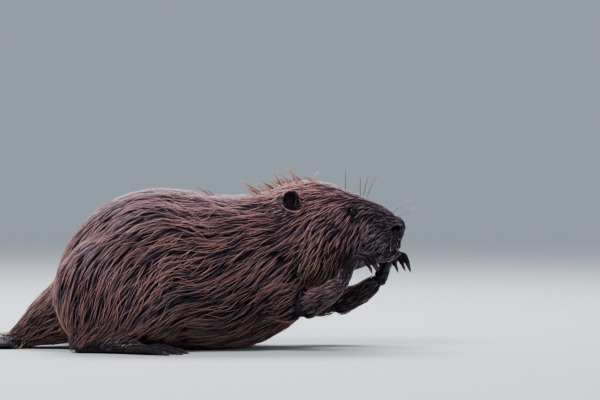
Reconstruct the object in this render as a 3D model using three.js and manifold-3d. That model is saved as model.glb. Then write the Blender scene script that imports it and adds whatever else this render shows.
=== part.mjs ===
// A beaver at life size, as a museum shows it: crouched on its belly with its back arched,
// elbows tucked in and both forepaws raised to the mouth, the flat tail laid out behind.
// Millimetres, +Z up, head towards +X, the animal's right side towards -Y.
// The solids reach to the tips of the coat. Neighbouring pieces keep a thin clearance.
import * as THREE from "three";
import { mergeVertices } from "three/addons/utils/BufferGeometryUtils.js";
import Module from "manifold-3d";

const wasm = await Module();
wasm.setup();

// ---- driving dimensions -------------------------------------------------

const CLEARANCE = 0.35; // between pieces that meet
const FLOOR = 0; // everything is trimmed flat here
const SIDES = { right: -1, left: 1 };

// Cross-sections of the trunk, neck and head, from the rump to the nose.
const RUMP_X = -10;
const RUMP_ROUNDING = 166; // the rump closes as a quarter circle of this length
const MUZZLE_X = 518.5;
const MUZZLE_ROUNDING = 24;
const BODY_COLUMNS = 20;
const BODY_RINGS = 23;
const RUMP_BREADTH = 0.78; // below 1 the rump stays broad towards the tail, seen from above
// x, top and bottom height, half width, height of the widest place, squareness above and below it
const BODY_SECTIONS = [
  [-10, 240, -4, 118, 72, 2.1, 2],
  [156, 240, -4, 125, 84, 2.1, 2],
  [220, 232.5, -4, 119, 92, 2.1, 2.2],
  [262, 228, -2, 112, 100, 2.1, 2.3],
  [300, 234, 7, 103, 112, 2.1, 2.2],
  [340, 248.5, 28, 90, 128, 2.1, 2.1],
  [366, 253.5, 52, 80, 142, 2.1, 2.1],
  [400, 249, 88, 68, 156, 2.2, 2.2],
  [440, 234, 115, 55, 164, 2.4, 2.3],
  [475, 219, 127, 41, 166, 2.5, 2.3],
  [500, 204, 129, 30, 166, 2.4, 2.2],
  [518.5, 196, 133, 25, 166, 2.2, 2.2],
];

// Planes that part the body, each by a point on its upper edge and one on its lower edge.
const NECK_REAR = { upper: [272, 228], lower: [318, 20] };
const NECK_FRONT = { upper: [312, 250], lower: [384, 92] };

// Head
const EYE = { x: 438.5, y: 41.3, z: 206.4, radius: 6.6 };
const EAR = {
  x: 347,
  y: 63,
  z: 223.5,
  width: 31,
  height: 32,
  depth: 15,
  turn: 28, // degrees forwards
  lean: 12, // degrees outwards
  dishWidth: 0.78, // of the ear's own width and height
  dishDepth: 0.84,
};
const NOSE = { x: 500, z: 182, length: 20, halfWidth: 26, halfHeight: 18, tilt: 20 };
const NOSTRIL = { x: 505, y: 23.5, z: 180.5, length: 6.5, width: 6, height: 4.4, tilt: 15, turn: 35 };
const JAW_OUTLINE = [[446, 96], [450, 141], [462, 149], [484, 150], [540, 146], [540, 96]]; // x, z
const JAW_HALF_SPAN = 80; // wider than the head

// Tufts of wet guard hair that stand up from nape and crown and lean back.
const NAPE_TUFT = {
  radius: 5,
  root: 8, // how deep it starts below the outline of the back
  lean: 0.55, // how far it leans back for each unit of height
  places: [[287, 6], [303, -8], [319, 4], [333, -6], [349, 8], [364, -7], [393, 3]], // x, y
  heights: [10, 19, 27, 18, 20, 11, 15],
};

// Tail: a furred root that tapers into a flat scaly paddle, swung a little to the left.
const TAIL_ROOT = {
  path: [[52, 0, 70], [-10, 1, 44], [-60, 3, 18]],
  halfWidths: [70, 55, 35],
  halfHeights: [56, 43, 17],
};
const PADDLE = {
  start: -48,
  length: 258,
  swing: 34,
  halfWidth: 58,
  thickness: 20,
  spineHeight: 8.4,
  neck: 0.6, // breadth at the root, as a share of the widest
  widestAt: 0.5,
  thinning: 0.5, // of the thickness lost by the tip
  rim: 1.7, // below 2 the edge is sharper than an ellipse
  rings: 11,
  columns: 10,
};

// Hind leg: a haunch that hides the folded shin, over a broad webbed foot that lies flat.
const HAUNCH = { x: 100, y: 77, z: 88, radii: [110, 63, 95], lean: 12, pitch: -6 };
const HIND_FOOT = { x: 36, y: 104, splay: 8 };
const SOLE = {
  path: [[2, 0, 14], [44, 0, 13], [86, 0, 9]],
  halfWidths: [16, 21, 29],
  halfHeights: [17, 14, 11],
};
const TOE = {
  rootX: 80,
  spread: 46, // between the roots of the outer toes
  fan: 32, // degrees between the outer toes
  lengths: [48, 62, 69, 64, 50], // inner toe first
  line: [[-0.15, 8], [0.4, 9], [0.75, 7.5], [1, 4.5]], // share of the length, height
  radii: [7, 7, 6, 5],
};
const TOE_ROOM = {
  path: [[62, 0, 6], [106, 0, 6], [150, 0, 6]],
  halfWidths: [38, 50, 60],
  halfHeights: [17, 15, 13],
};
const WEB = { bottom: 1, thickness: 4, dip: 6 };
const HIND_CLAW = { length: 15, radius: 3.4, hook: 2.5 };

// Forelegs: elbows tucked to the chest, clear of the floor. The left one reaches further forward.
const FORELEGS = {
  right: {
    shoulder: [308, 54, 122],
    humerus: [326, 68, 92],
    elbow: [346, 82, 62],
    forearm: [388, 84, 76],
    wrist: [424, 78, 106],
    yaw: 6,
  },
  left: {
    shoulder: [318, 54, 122],
    humerus: [356, 66, 92],
    elbow: [396, 78, 60],
    forearm: [440, 76, 70],
    wrist: [482, 64, 100],
    yaw: -35,
  },
};
const UPPER_ARM_RADII = [52, 45, 27];
const FOREARM_RADII = [23, 19.5, 12.5];
const PALM = {
  path: [[0, 0, 0], [7, 0, 17], [18, 0, 33]],
  halfWidths: [12, 16, 18],
  halfHeights: [10.5, 10.5, 8],
};
const FINGER = {
  path: [[14, 30], [27, 41], [41, 38], [47, 27]], // forward and up from the wrist
  across: [-16.6, -9.2, 0, 9.2, 18.4], // thumb first
  forward: [0.76, 0.94, 1, 0.95, 0.84], // share of the path's reach
  upward: [0.86, 0.94, 1, 0.95, 0.84],
  gather: 0.06, // how much closer together the fingers are at each point of the path
  radii: [5, 5, 4.5, 4],
};
const FORE_CLAW = { length: 12, radius: 2.6, hook: 3 };
const CLAW_POINT = 0.5;

// ---- materials ----------------------------------------------------------

const material = (color, roughness) =>
  new THREE.MeshStandardMaterial({ color, roughness, metalness: 0 });
const FUR = material(0x4a3328, 0.55);
const DARK_FUR = material(0x2b1f1b, 0.6);
const BARE_SKIN = material(0x241f20, 0.5);
const TAIL_SKIN = material(0x33302f, 0.55);
const CLAW_HORN = material(0x1d1815, 0.3);
const EYE_GLOSS = material(0x050404, 0.05);

// ---- solids -------------------------------------------------------------

const MERGE_DISTANCE = 1e-4;

// A three.js geometry as a solid that can be joined and cut.
function solidOf(geometry) {
  const bare = geometry.clone();
  bare.deleteAttribute("normal");
  bare.deleteAttribute("uv");
  const merged = mergeVertices(bare, MERGE_DISTANCE);
  return new wasm.Manifold(
    new wasm.Mesh({
      numProp: 3,
      vertProperties: new Float32Array(merged.attributes.position.array),
      triVerts: new Uint32Array(merged.index.array),
    }),
  );
}

// The largest connected body of a solid, as a three.js geometry.
function geometryOf(solid) {
  const bodies = solid.decompose().sort((a, b) => b.volume() - a.volume());
  const mesh = bodies[0].getMesh();
  const geometry = new THREE.BufferGeometry();
  geometry.setAttribute("position", new THREE.BufferAttribute(mesh.vertProperties, 3));
  geometry.setIndex(new THREE.BufferAttribute(mesh.triVerts, 1));
  geometry.computeVertexNormals();
  return geometry;
}

const union = (solids) => solids.reduce((all, next) => all.add(next));
const cutBy = (solid, tools) => tools.reduce((rest, tool) => rest.subtract(tool), solid);
const onFloor = (solid) => solid.trimByPlane([0, 0, 1], FLOOR);

// A closed surface over rings of points, each ring turning right-handed about the way forward.
function loft(rings, startPole, endPole) {
  const columns = rings[0].length;
  const points = [...rings.flat(), startPole, endPole];
  const [start, end] = [points.length - 2, points.length - 1];
  const index = [];
  for (let j = 0; j < columns; j++) {
    const next = (j + 1) % columns;
    const last = (rings.length - 1) * columns;
    index.push(start, next, j, end, last + j, last + next);
    for (let i = 0; i + 1 < rings.length; i++) {
      const [a, b] = [i * columns + j, i * columns + next];
      index.push(a, b, b + columns, a, b + columns, a + columns);
    }
  }
  const geometry = new THREE.BufferGeometry().setFromPoints(points);
  geometry.setIndex(index);
  return solidOf(geometry);
}

// A smooth value between the rows of a table whose first column is the place along it.
function between(rows, place) {
  const last = rows.length - 1;
  let i = rows.findIndex((row) => row[0] > place) - 1;
  if (i < 0) i = place < rows[0][0] ? 0 : last - 1;
  const [a, b] = [rows[i], rows[i + 1]];
  const [before, after] = [rows[Math.max(i - 1, 0)], rows[Math.min(i + 2, last)]];
  const span = b[0] - a[0];
  const t = THREE.MathUtils.clamp((place - a[0]) / span, 0, 1);
  return a.slice(1).map((value, n) => {
    const k = n + 1;
    const slopeA = ((b[k] - before[k]) / (b[0] - before[0])) * span;
    const slopeB = ((after[k] - a[k]) / (after[0] - a[0])) * span;
    const rise = b[k] - value;
    const bend = 3 * rise - 2 * slopeA - slopeB;
    const twist = slopeA + slopeB - 2 * rise;
    return value + t * (slopeA + t * (bend + t * twist));
  });
}

const bulge = (value, power) => Math.sign(value) * Math.abs(value) ** (2 / power);

// A share from 0 to 1 that crowds towards both ends, where forms round off.
const spread = (share) => (1 - Math.cos(Math.PI * share)) / 2;

// How far a rounded end has opened at a distance from its pole.
const opened = (distance, length) => Math.sqrt(1 - (1 - Math.min(distance / length, 1)) ** 2);

// One cross-section of the body. It closes towards the rump and the muzzle.
function bodyRing(x, grow) {
  const [top, bottom, halfWidth, widest, above, below] = between(BODY_SECTIONS, x);
  const rump = opened(x - RUMP_X, RUMP_ROUNDING);
  const muzzle = opened(MUZZLE_X - x, MUZZLE_ROUNDING);
  return Array.from({ length: BODY_COLUMNS }, (_, j) => {
    const angle = (2 * Math.PI * j) / BODY_COLUMNS;
    const power = Math.sin(angle) > 0 ? above : below;
    const rise = (Math.sin(angle) > 0 ? top - widest : widest - bottom) * rump * muzzle + grow;
    const y = (halfWidth * rump ** RUMP_BREADTH * muzzle + grow) * bulge(Math.cos(angle), power);
    return new THREE.Vector3(x, y, widest + rise * bulge(Math.sin(angle), power));
  });
}

// Trunk, neck and head in one piece. Rings crowd together at both rounded ends.
function bodySolid(grow = 0) {
  const rings = [];
  for (let i = 1; i < BODY_RINGS; i++) {
    rings.push(bodyRing(THREE.MathUtils.lerp(RUMP_X, MUZZLE_X, spread(i / BODY_RINGS)), grow));
  }
  const pole = (x, sign) => new THREE.Vector3(x + sign * grow, 0, between(BODY_SECTIONS, x)[3]);
  return loft(rings, pole(RUMP_X, -1), pole(MUZZLE_X, 1));
}

// The tufts on nape and crown, to be joined to the body that they grow from.
function napeTufts() {
  const { radius, root, lean, places, heights } = NAPE_TUFT;
  return places.map(([x, y], n) => {
    const [top] = between(BODY_SECTIONS, x);
    const path = [-root, heights[n]].map((rise) => [x - lean * rise, y, top + rise]);
    return tube(path, [radius, CLAW_POINT], [radius, CLAW_POINT], { columns: 4, steps: 1, capRings: 0 });
  });
}

// A bent tube with rounded ends. Half widths lie level where up is +Z. grow swells it all round.
function tube(path, halfWidths, halfHeights, options = {}) {
  const { columns = 10, steps = 3, capRings = 2, grow = 0, up = [0, 0, 1] } = options;
  const points = path.map((p) => new THREE.Vector3(...p));
  const curve = new THREE.CatmullRomCurve3(points);
  const sizes = halfWidths.map((w, i) => [i / (halfWidths.length - 1), w + grow, halfHeights[i] + grow]);
  const corner = (j) => (2 * Math.PI * j) / columns;
  const ring = (t, along, scale) => {
    const ahead = curve.getTangent(t);
    const side = new THREE.Vector3(...up).cross(ahead).normalize();
    const rise = ahead.clone().cross(side);
    const centre = curve.getPoint(t).addScaledVector(ahead, along);
    const [w, h] = between(sizes, t).map((size) => size * scale);
    return Array.from({ length: columns }, (_, j) => {
      const point = centre.clone().addScaledVector(side, w * Math.cos(corner(j)));
      return point.addScaledVector(rise, h * Math.sin(corner(j)));
    });
  };
  const capLength = (t) => Math.min(...between(sizes, t));
  const cap = (t, sign) =>
    Array.from({ length: capRings }, (_, k) => {
      const angle = ((k + 1) / (capRings + 1)) * (Math.PI / 2);
      return ring(t, sign * capLength(t) * Math.cos(angle), Math.sin(angle));
    });
  const wall = Array.from({ length: steps + 1 }, (_, i) => ring(i / steps, 0, 1));
  const rings = [...cap(0, -1), ...wall, ...cap(1, 1).reverse()];
  const pole = (t, sign) => curve.getPoint(t).addScaledVector(curve.getTangent(t), sign * capLength(t));
  return loft(rings, pole(0, -1), pole(1, 1));
}

// An ellipsoid, turned about X, then Y, then Z, in degrees.
function ellipsoid(centre, radii, turns, grow, columns, rows) {
  const geometry = new THREE.SphereGeometry(1, columns, rows);
  geometry.scale(radii[0] + grow, radii[1] + grow, radii[2] + grow);
  const [rx, ry, rz] = turns.map(THREE.MathUtils.degToRad);
  geometry.rotateX(rx).rotateY(ry).rotateZ(rz).translate(...centre);
  return solidOf(geometry);
}

// A plane through two side-view points, as trimByPlane wants it, facing forward.
function plane({ upper, lower }) {
  const normal = new THREE.Vector2(upper[1] - lower[1], lower[0] - upper[0]).normalize();
  return { normal: [normal.x, 0, normal.y], offset: normal.dot(new THREE.Vector2(...upper)) };
}

const ahead = (solid, { normal, offset }) => solid.trimByPlane(normal, offset + CLEARANCE / 2);
const behind = (solid, { normal, offset }) =>
  solid.trimByPlane(normal.map((v) => -v), -(offset - CLEARANCE / 2));

// A side-view outline as a block that spans the whole animal. grow moves its corners outwards.
function block(outline, halfSpan, grow = 0) {
  const corners = outline.map((p) => new THREE.Vector2(...p));
  const centre = new THREE.Box2().setFromPoints(corners).getCenter(new THREE.Vector2());
  const points = corners.map((p) => p.clone().add(p.clone().sub(centre).setLength(grow)));
  const depth = 2 * halfSpan;
  const geometry = new THREE.ExtrudeGeometry(new THREE.Shape(points), { depth, bevelEnabled: false });
  geometry.rotateX(Math.PI / 2).translate(0, halfSpan, 0);
  return solidOf(geometry);
}

// ---- legs, feet and hands -------------------------------------------------

// Path points of a limb on one side, from points given for the left side.
const onSide = (path, sign) => path.map(([x, y, z]) => [x, y * sign, z]);

const haunch = (sign, grow = 0) => {
  const { x, y, z, radii, lean, pitch } = HAUNCH;
  return ellipsoid([x, y * sign, z], radii, [lean * sign, pitch, 0], grow, 13, 9);
};

// Local points of a foot or hand, set at its place on the animal.
function placer({ x, y, z = 0 }, sign, yaw) {
  const turn = new THREE.Matrix4().makeRotationZ(THREE.MathUtils.degToRad(yaw));
  return (path) =>
    path.map((p) => {
      const v = new THREE.Vector3(...p).applyMatrix4(turn);
      return [v.x + x, (v.y + y) * sign, v.z + z];
    });
}

const hindFootPlace = (sign) => placer(HIND_FOOT, sign, HIND_FOOT.splay);

// The line of one hind toe from its root to its tip, in the foot's own frame.
function toePath(n) {
  const share = n / (TOE.lengths.length - 1) - 0.5;
  const angle = THREE.MathUtils.degToRad(TOE.fan * share);
  return TOE.line.map(([along, z]) => [
    TOE.rootX + TOE.lengths[n] * along * Math.cos(angle),
    TOE.spread * share + TOE.lengths[n] * along * Math.sin(angle),
    z,
  ]);
}

function toe(n, sign, grow = 0) {
  const path = hindFootPlace(sign)(toePath(n));
  return tube(path, TOE.radii, TOE.radii, { columns: 5, steps: 2, capRings: 0, grow });
}

// The skin between the toes: a thin fan that dips between their tips.
function web(sign) {
  const tips = TOE.lengths.map((_, n) => toePath(n)[2]);
  const edge = [toePath(0)[0]];
  tips.forEach((tip, n) => {
    edge.push(tip);
    if (n + 1 < tips.length) {
      const middle = tip.map((v, k) => (v + tips[n + 1][k]) / 2);
      edge.push([middle[0] - WEB.dip, middle[1]]);
    }
  });
  edge.push(toePath(TOE.lengths.length - 1)[0]);
  const shape = new THREE.Shape(edge.map(([x, y]) => new THREE.Vector2(x, y)));
  const geometry = new THREE.ExtrudeGeometry(shape, { depth: WEB.thickness, bevelEnabled: false });
  geometry.translate(0, 0, FLOOR + WEB.bottom);
  const local = solidOf(geometry);
  const turn = new THREE.Matrix4().makeTranslation(HIND_FOOT.x, HIND_FOOT.y * sign, 0);
  turn.multiply(new THREE.Matrix4().makeRotationZ(THREE.MathUtils.degToRad(HIND_FOOT.splay * sign)));
  return (sign < 0 ? local.mirror([0, 1, 0]) : local).transform(turn.elements);
}

const sole = (sign, grow = 0) =>
  tube(hindFootPlace(sign)(SOLE.path), SOLE.halfWidths, SOLE.halfHeights, { columns: 8, grow });

// The room that the toes take, for cutting what lies over them.
const toeRoom = (sign) =>
  tube(hindFootPlace(sign)(TOE_ROOM.path), TOE_ROOM.halfWidths, TOE_ROOM.halfHeights, {
    columns: 8,
    steps: 1,
    capRings: 0,
  });

function hindFoot(sign) {
  const toes = TOE.lengths.map((_, n) => toe(n, sign));
  return union([sole(sign), web(sign), ...toes]);
}

// A horn claw that leaves a digit's tip along its last stretch and hooks towards the ground.
function claw(path, { length, radius, hook }) {
  const [from, tip] = path.slice(-2).map((p) => new THREE.Vector3(...p));
  const way = tip.clone().sub(from).setLength(length);
  const at = (along) => {
    const point = tip.clone().addScaledVector(way, along);
    return [point.x, point.y, point.z - hook * along * along];
  };
  const sizes = [radius, radius * 0.8, CLAW_POINT];
  return tube([at(0), at(0.55), at(1)], sizes, sizes, { columns: 4, steps: 2, capRings: 0 });
}

// The hand's own frame has its origin at the wrist. Fingers are numbered from the thumb outwards.
const handPlace = (name) => {
  const [x, y, z] = FORELEGS[name].wrist;
  return placer({ x, y, z }, SIDES[name], FORELEGS[name].yaw);
};

const fingerPath = (n) =>
  FINGER.path.map(([x, z], k) => [
    x * FINGER.forward[n],
    FINGER.across[n] * (1 - FINGER.gather * k),
    z * FINGER.upward[n],
  ]);

function finger(n, name, grow = 0) {
  const path = handPlace(name)(fingerPath(n));
  return tube(path, FINGER.radii, FINGER.radii, { columns: 5, capRings: 1, grow, up: [0, 1, 0] });
}

function hand(name, grow = 0) {
  const palm = tube(handPlace(name)(PALM.path), PALM.halfHeights, PALM.halfWidths, {
    columns: 8,
    grow,
    up: [0, 1, 0],
  });
  return union([palm, ...FINGER.across.map((_, n) => finger(n, name, grow))]);
}

const upperArm = (name, grow = 0) => {
  const { shoulder, humerus, elbow } = FORELEGS[name];
  return tube(onSide([shoulder, humerus, elbow], SIDES[name]), UPPER_ARM_RADII, UPPER_ARM_RADII, {
    columns: 8,
    grow,
    up: [1, 0, 0],
  });
};

const forearm = (name, grow = 0) => {
  const leg = FORELEGS[name];
  return tube(onSide([leg.elbow, leg.forearm, leg.wrist], SIDES[name]), FOREARM_RADII, FOREARM_RADII, {
    columns: 8,
    grow,
  });
};

// ---- head and tail --------------------------------------------------------

function eye(sign, grow = 0) {
  const radii = [EYE.radius, EYE.radius, EYE.radius];
  return ellipsoid([EYE.x, EYE.y * sign, EYE.z], radii, [0, 0, 0], grow, 8, 6);
}

// A small round ear: a thick dish that opens outwards and forwards.
function ear(sign) {
  const turns = [EAR.lean * sign, 0, EAR.turn * sign];
  const radii = [EAR.width / 2, EAR.depth / 2, EAR.height / 2];
  const shares = [EAR.dishWidth, EAR.dishDepth, EAR.dishWidth];
  const centre = new THREE.Vector3(EAR.x, EAR.y * sign, EAR.z);
  const away = new THREE.Vector3(0, (sign * EAR.depth * EAR.dishDepth) / 2, 0);
  away.applyEuler(new THREE.Euler(...turns.map(THREE.MathUtils.degToRad), "ZYX"));
  const shell = ellipsoid(centre.toArray(), radii, turns, 0, 12, 7);
  const dish = ellipsoid(centre.add(away).toArray(), radii.map((r, k) => r * shares[k]), turns, 0, 9, 5);
  return shell.subtract(dish);
}

// The bare nose pad, and the nostril that is let into each side of it.
function nosePad(grow = 0) {
  const radii = [NOSE.length, NOSE.halfWidth, NOSE.halfHeight];
  return ellipsoid([NOSE.x, 0, NOSE.z], radii, [0, NOSE.tilt, 0], grow, 11, 7);
}

function nostril(sign) {
  const radii = [NOSTRIL.length, NOSTRIL.width, NOSTRIL.height];
  const turns = [0, NOSTRIL.tilt, -NOSTRIL.turn * sign];
  return ellipsoid([NOSTRIL.x, NOSTRIL.y * sign, NOSTRIL.z], radii, turns, 0, 6, 5);
}

const tailRoot = (grow = 0) =>
  tube(TAIL_ROOT.path, TAIL_ROOT.halfWidths, TAIL_ROOT.halfHeights, { columns: 12, grow });

// The paddle is widest past its middle, thick along its spine and thin at its rim.
function paddle() {
  const { start, length, swing, spineHeight, neck, widestAt } = PADDLE;
  const spine = (t) => new THREE.Vector3(start - length * t, swing * t * t, spineHeight);
  const ring = (t) => {
    const flare = neck + (1 - neck) * Math.sin((Math.PI / 2) * Math.min(t / widestAt, 1));
    const width = PADDLE.halfWidth * flare * opened(t, 0.06) * opened(1 - t, 0.4);
    const height = (PADDLE.thickness / 2) * (1 - PADDLE.thinning * t) * opened(1 - t, 0.12);
    return Array.from({ length: PADDLE.columns }, (_, j) => {
      const angle = (2 * Math.PI * j) / PADDLE.columns;
      const rise = height * bulge(Math.sin(angle), PADDLE.rim);
      return spine(t).add(new THREE.Vector3(0, -width * Math.cos(angle), rise));
    });
  };
  const shares = Array.from({ length: PADDLE.rings - 1 }, (_, i) => spread((i + 1) / PADDLE.rings));
  return loft(shares.map(ring), spine(0), spine(1));
}

// ---- the animal -----------------------------------------------------------

const beaver = new THREE.Group();

function add(name, solid, finish) {
  const mesh = new THREE.Mesh(geometryOf(solid), finish);
  mesh.name = name;
  beaver.add(mesh);
}

const sides = Object.entries(SIDES);
const body = union([bodySolid(), ...napeTufts()]);
const bodyTools = sides.flatMap(([name, sign]) => [
  haunch(sign, CLEARANCE),
  upperArm(name, CLEARANCE),
]);
bodyTools.push(tailRoot(CLEARANCE));
const fleshed = onFloor(cutBy(body, bodyTools));
const [rearPlane, frontPlane] = [plane(NECK_REAR), plane(NECK_FRONT)];

add("trunk", behind(fleshed, rearPlane), FUR);
add("neck", behind(ahead(fleshed, rearPlane), frontPlane), FUR);

const headTools = [nosePad(CLEARANCE), ...sides.map(([, sign]) => eye(sign, CLEARANCE))];
const wholeHead = cutBy(ahead(fleshed, frontPlane), headTools);
add("head", wholeHead.subtract(block(JAW_OUTLINE, JAW_HALF_SPAN, 2 * CLEARANCE)), FUR);
add("lower_jaw", wholeHead.intersect(block(JAW_OUTLINE, JAW_HALF_SPAN)), FUR);
add("nose", cutBy(nosePad(), sides.map(([, sign]) => nostril(sign))), BARE_SKIN);

const swollenBody = bodySolid(CLEARANCE);
for (const [name, sign] of sides) {
  add("eye_" + name, eye(sign), EYE_GLOSS);
  add("ear_" + name, ear(sign).subtract(swollenBody), DARK_FUR);

  const underHaunch = [sole(sign, CLEARANCE), toeRoom(sign), tailRoot(CLEARANCE)];
  add("haunch_" + name, onFloor(cutBy(haunch(sign), underHaunch)), FUR);
  add("hind_foot_" + name, onFloor(hindFoot(sign)), BARE_SKIN);
  TOE.lengths.forEach((_, n) => {
    const horn = claw(hindFootPlace(sign)(toePath(n)), HIND_CLAW);
    add("hind_claw_" + name + "_" + (n + 1), onFloor(horn.subtract(toe(n, sign, CLEARANCE))), CLAW_HORN);
  });

  add("upper_arm_" + name, onFloor(cutBy(upperArm(name), [forearm(name, CLEARANCE)])), FUR);
  add("forearm_" + name, onFloor(cutBy(forearm(name), [hand(name, CLEARANCE)])), FUR);
  add("forepaw_" + name, hand(name), BARE_SKIN);
  FINGER.across.forEach((_, n) => {
    const horn = claw(handPlace(name)(fingerPath(n)), FORE_CLAW);
    add("fore_claw_" + name + "_" + (n + 1), horn.subtract(finger(n, name, CLEARANCE)), CLAW_HORN);
  });
}

add("tail_root", onFloor(tailRoot()), FUR);
add("tail", onFloor(paddle().subtract(tailRoot(CLEARANCE))), TAIL_SKIN);

// The frame's origin is on the floor, below the middle of the whole animal.
const extent = new THREE.Box3().setFromObject(beaver);
const middle = extent.getCenter(new THREE.Vector3());
beaver.position.set(-middle.x, -middle.y, -extent.min.z);

export default beaver;
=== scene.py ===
# %% [markdown]
# A beaver at life size, as a museum shows it: crouched on its belly, back arched, both
# forepaws raised to its mouth. The solids come from the CAD model and stay where they are.
# Here they get one living surface: a skin, a wet coat of locks, a scaly tail, eyes, claws
# and whiskers. Everything is built in metres, in the frame of the CAD model.

import math

import bmesh
import bpy
import numpy as np
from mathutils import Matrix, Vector
from mathutils.bvhtree import BVHTree


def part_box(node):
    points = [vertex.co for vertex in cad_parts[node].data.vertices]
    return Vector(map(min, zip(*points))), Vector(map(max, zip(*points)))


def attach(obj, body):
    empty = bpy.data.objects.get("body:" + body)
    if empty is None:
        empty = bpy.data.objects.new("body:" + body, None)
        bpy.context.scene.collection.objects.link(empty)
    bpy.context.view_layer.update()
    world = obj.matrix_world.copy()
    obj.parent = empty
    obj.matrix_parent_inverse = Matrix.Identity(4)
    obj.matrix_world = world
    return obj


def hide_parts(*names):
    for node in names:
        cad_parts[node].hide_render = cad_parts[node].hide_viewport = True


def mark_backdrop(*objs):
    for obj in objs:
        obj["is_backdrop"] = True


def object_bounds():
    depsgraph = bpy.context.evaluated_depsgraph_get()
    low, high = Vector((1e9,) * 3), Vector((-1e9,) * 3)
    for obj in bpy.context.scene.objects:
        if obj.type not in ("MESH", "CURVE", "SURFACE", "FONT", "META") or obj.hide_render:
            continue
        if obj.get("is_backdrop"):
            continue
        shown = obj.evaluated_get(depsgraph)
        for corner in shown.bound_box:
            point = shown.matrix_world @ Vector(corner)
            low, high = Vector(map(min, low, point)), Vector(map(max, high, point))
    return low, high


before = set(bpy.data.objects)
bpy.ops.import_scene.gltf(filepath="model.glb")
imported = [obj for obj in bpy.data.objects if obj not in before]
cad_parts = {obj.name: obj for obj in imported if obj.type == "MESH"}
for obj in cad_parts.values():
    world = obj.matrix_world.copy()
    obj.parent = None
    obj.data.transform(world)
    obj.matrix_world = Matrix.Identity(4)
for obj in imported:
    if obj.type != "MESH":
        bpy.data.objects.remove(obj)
cad_box = [list(corner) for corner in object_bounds()]
MM = 0.001
SIDES = {"right": -1.0, "left": 1.0}
print("the animal measures", [round(b - a, 3) for a, b in zip(*cad_box)], "m")

# %% [markdown]
# The view. The head has the right half of the picture to itself, and the end of the tail
# leaves it on the left. A short lens close by would make the head look swollen. So a long
# lens is used from the animal's right side, a little above the floor. It shows the animal
# almost without perspective, the way wildlife is seen from a far bank.

# %% Camera
VIEW_WIDTH = 0.9
VIEW_DISTANCE = 6.5
VIEW_RISE = math.radians(2.3)
BEHIND_EYE, OVER_EYE = 0.0785, 0.0156  # the middle of the picture, from the right eye
SENSOR = 36.0


def middle(node):
    low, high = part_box(node)
    return (low + high) / 2


def add_camera():
    data = bpy.data.cameras.new("camera")
    data.sensor_width = SENSOR
    data.lens = SENSOR * VIEW_DISTANCE / VIEW_WIDTH
    data.clip_end = 50
    camera = bpy.data.objects.new("camera", data)
    eye = middle("eye_right")
    target = Vector((eye.x - BEHIND_EYE, 0, eye.z + OVER_EYE))
    back = Vector((0, -math.cos(VIEW_RISE), math.sin(VIEW_RISE)))
    camera.location = target + back * VIEW_DISTANCE
    camera.rotation_euler = (-back).to_track_quat("-Z", "Y").to_euler()
    bpy.context.scene.collection.objects.link(camera)
    bpy.context.scene.camera = camera
    return camera


camera = add_camera()
print("camera at", [round(v, 2) for v in camera.location])

# %% [markdown]
# The floor of the museum room. A square plane with a wall behind it would do from one side
# only. Here the floor is a wide disc that fades into the tone of the room towards its rim,
# so that no edge or horizon shows from any side. The little functions that make a material
# and set values on its nodes are used by every finish below.

# %% Floor
FLOOR_TONE = (0.62, 0.62, 0.61, 1)
ROOM_TONE = (0.70, 0.79, 0.92, 1)
ROOM_LIGHT = 0.42
FLOOR_RADIUS = 5.5
FADE_START, FADE_END = 1.3, 4.0


def set_sockets(node, **values):
    """Sets values on a node's sockets by name, with spaces written as underscores."""
    for name, value in values.items():
        node.inputs[name.replace("_", " ")].default_value = value


def node_with(nodes, kind_of_node, **values):
    node = nodes.new(kind_of_node)
    set_sockets(node, **values)
    return node


def new_material(name):
    material = bpy.data.materials.new(name)
    material.use_nodes = True
    nodes = material.node_tree.nodes
    return material, nodes, material.node_tree.links, nodes["Principled BSDF"]


def floor_finish():
    """Matte near the animal, and the room's own tone at the rim."""
    material, nodes, links, matte = new_material("floor_matte")
    set_sockets(matte, Base_Color=FLOOR_TONE, Roughness=0.8)
    rim = node_with(nodes, "ShaderNodeEmission", Color=ROOM_TONE, Strength=ROOM_LIGHT)
    place = nodes.new("ShaderNodeTexCoord")
    from_middle = nodes.new("ShaderNodeVectorMath")
    from_middle.operation = "LENGTH"
    links.new(place.outputs["Object"], from_middle.inputs[0])
    fade = node_with(nodes, "ShaderNodeMapRange", From_Min=FADE_START, From_Max=FADE_END)
    fade.interpolation_type = "SMOOTHSTEP"
    links.new(from_middle.outputs["Value"], fade.inputs["Value"])
    both = nodes.new("ShaderNodeMixShader")
    links.new(fade.outputs["Result"], both.inputs["Fac"])
    links.new(matte.outputs["BSDF"], both.inputs[1])
    links.new(rim.outputs["Emission"], both.inputs[2])
    links.new(both.outputs["Shader"], nodes["Material Output"].inputs["Surface"])
    return material


def add_floor():
    mesh = bpy.data.meshes.new("floor")
    disc = bmesh.new()
    bmesh.ops.create_circle(disc, cap_ends=True, segments=96, radius=FLOOR_RADIUS)
    disc.to_mesh(mesh)
    disc.free()
    floor = bpy.data.objects.new("floor", mesh)
    bpy.context.scene.collection.objects.link(floor)
    mesh.materials.append(floor_finish())
    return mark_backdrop(floor)


add_floor()
print("floor", 2 * FLOOR_RADIUS, "m across")

# %% [markdown]
# The light. A wet coat shows its form by broad soft reflections. Small lamps would give hard
# sparks, and an even sky alone would leave the coat flat. So the light comes from three
# large cool panels in a dim room: one high on the left, one behind and above that draws the
# pale sheen along the back, and a weak one in front.

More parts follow.
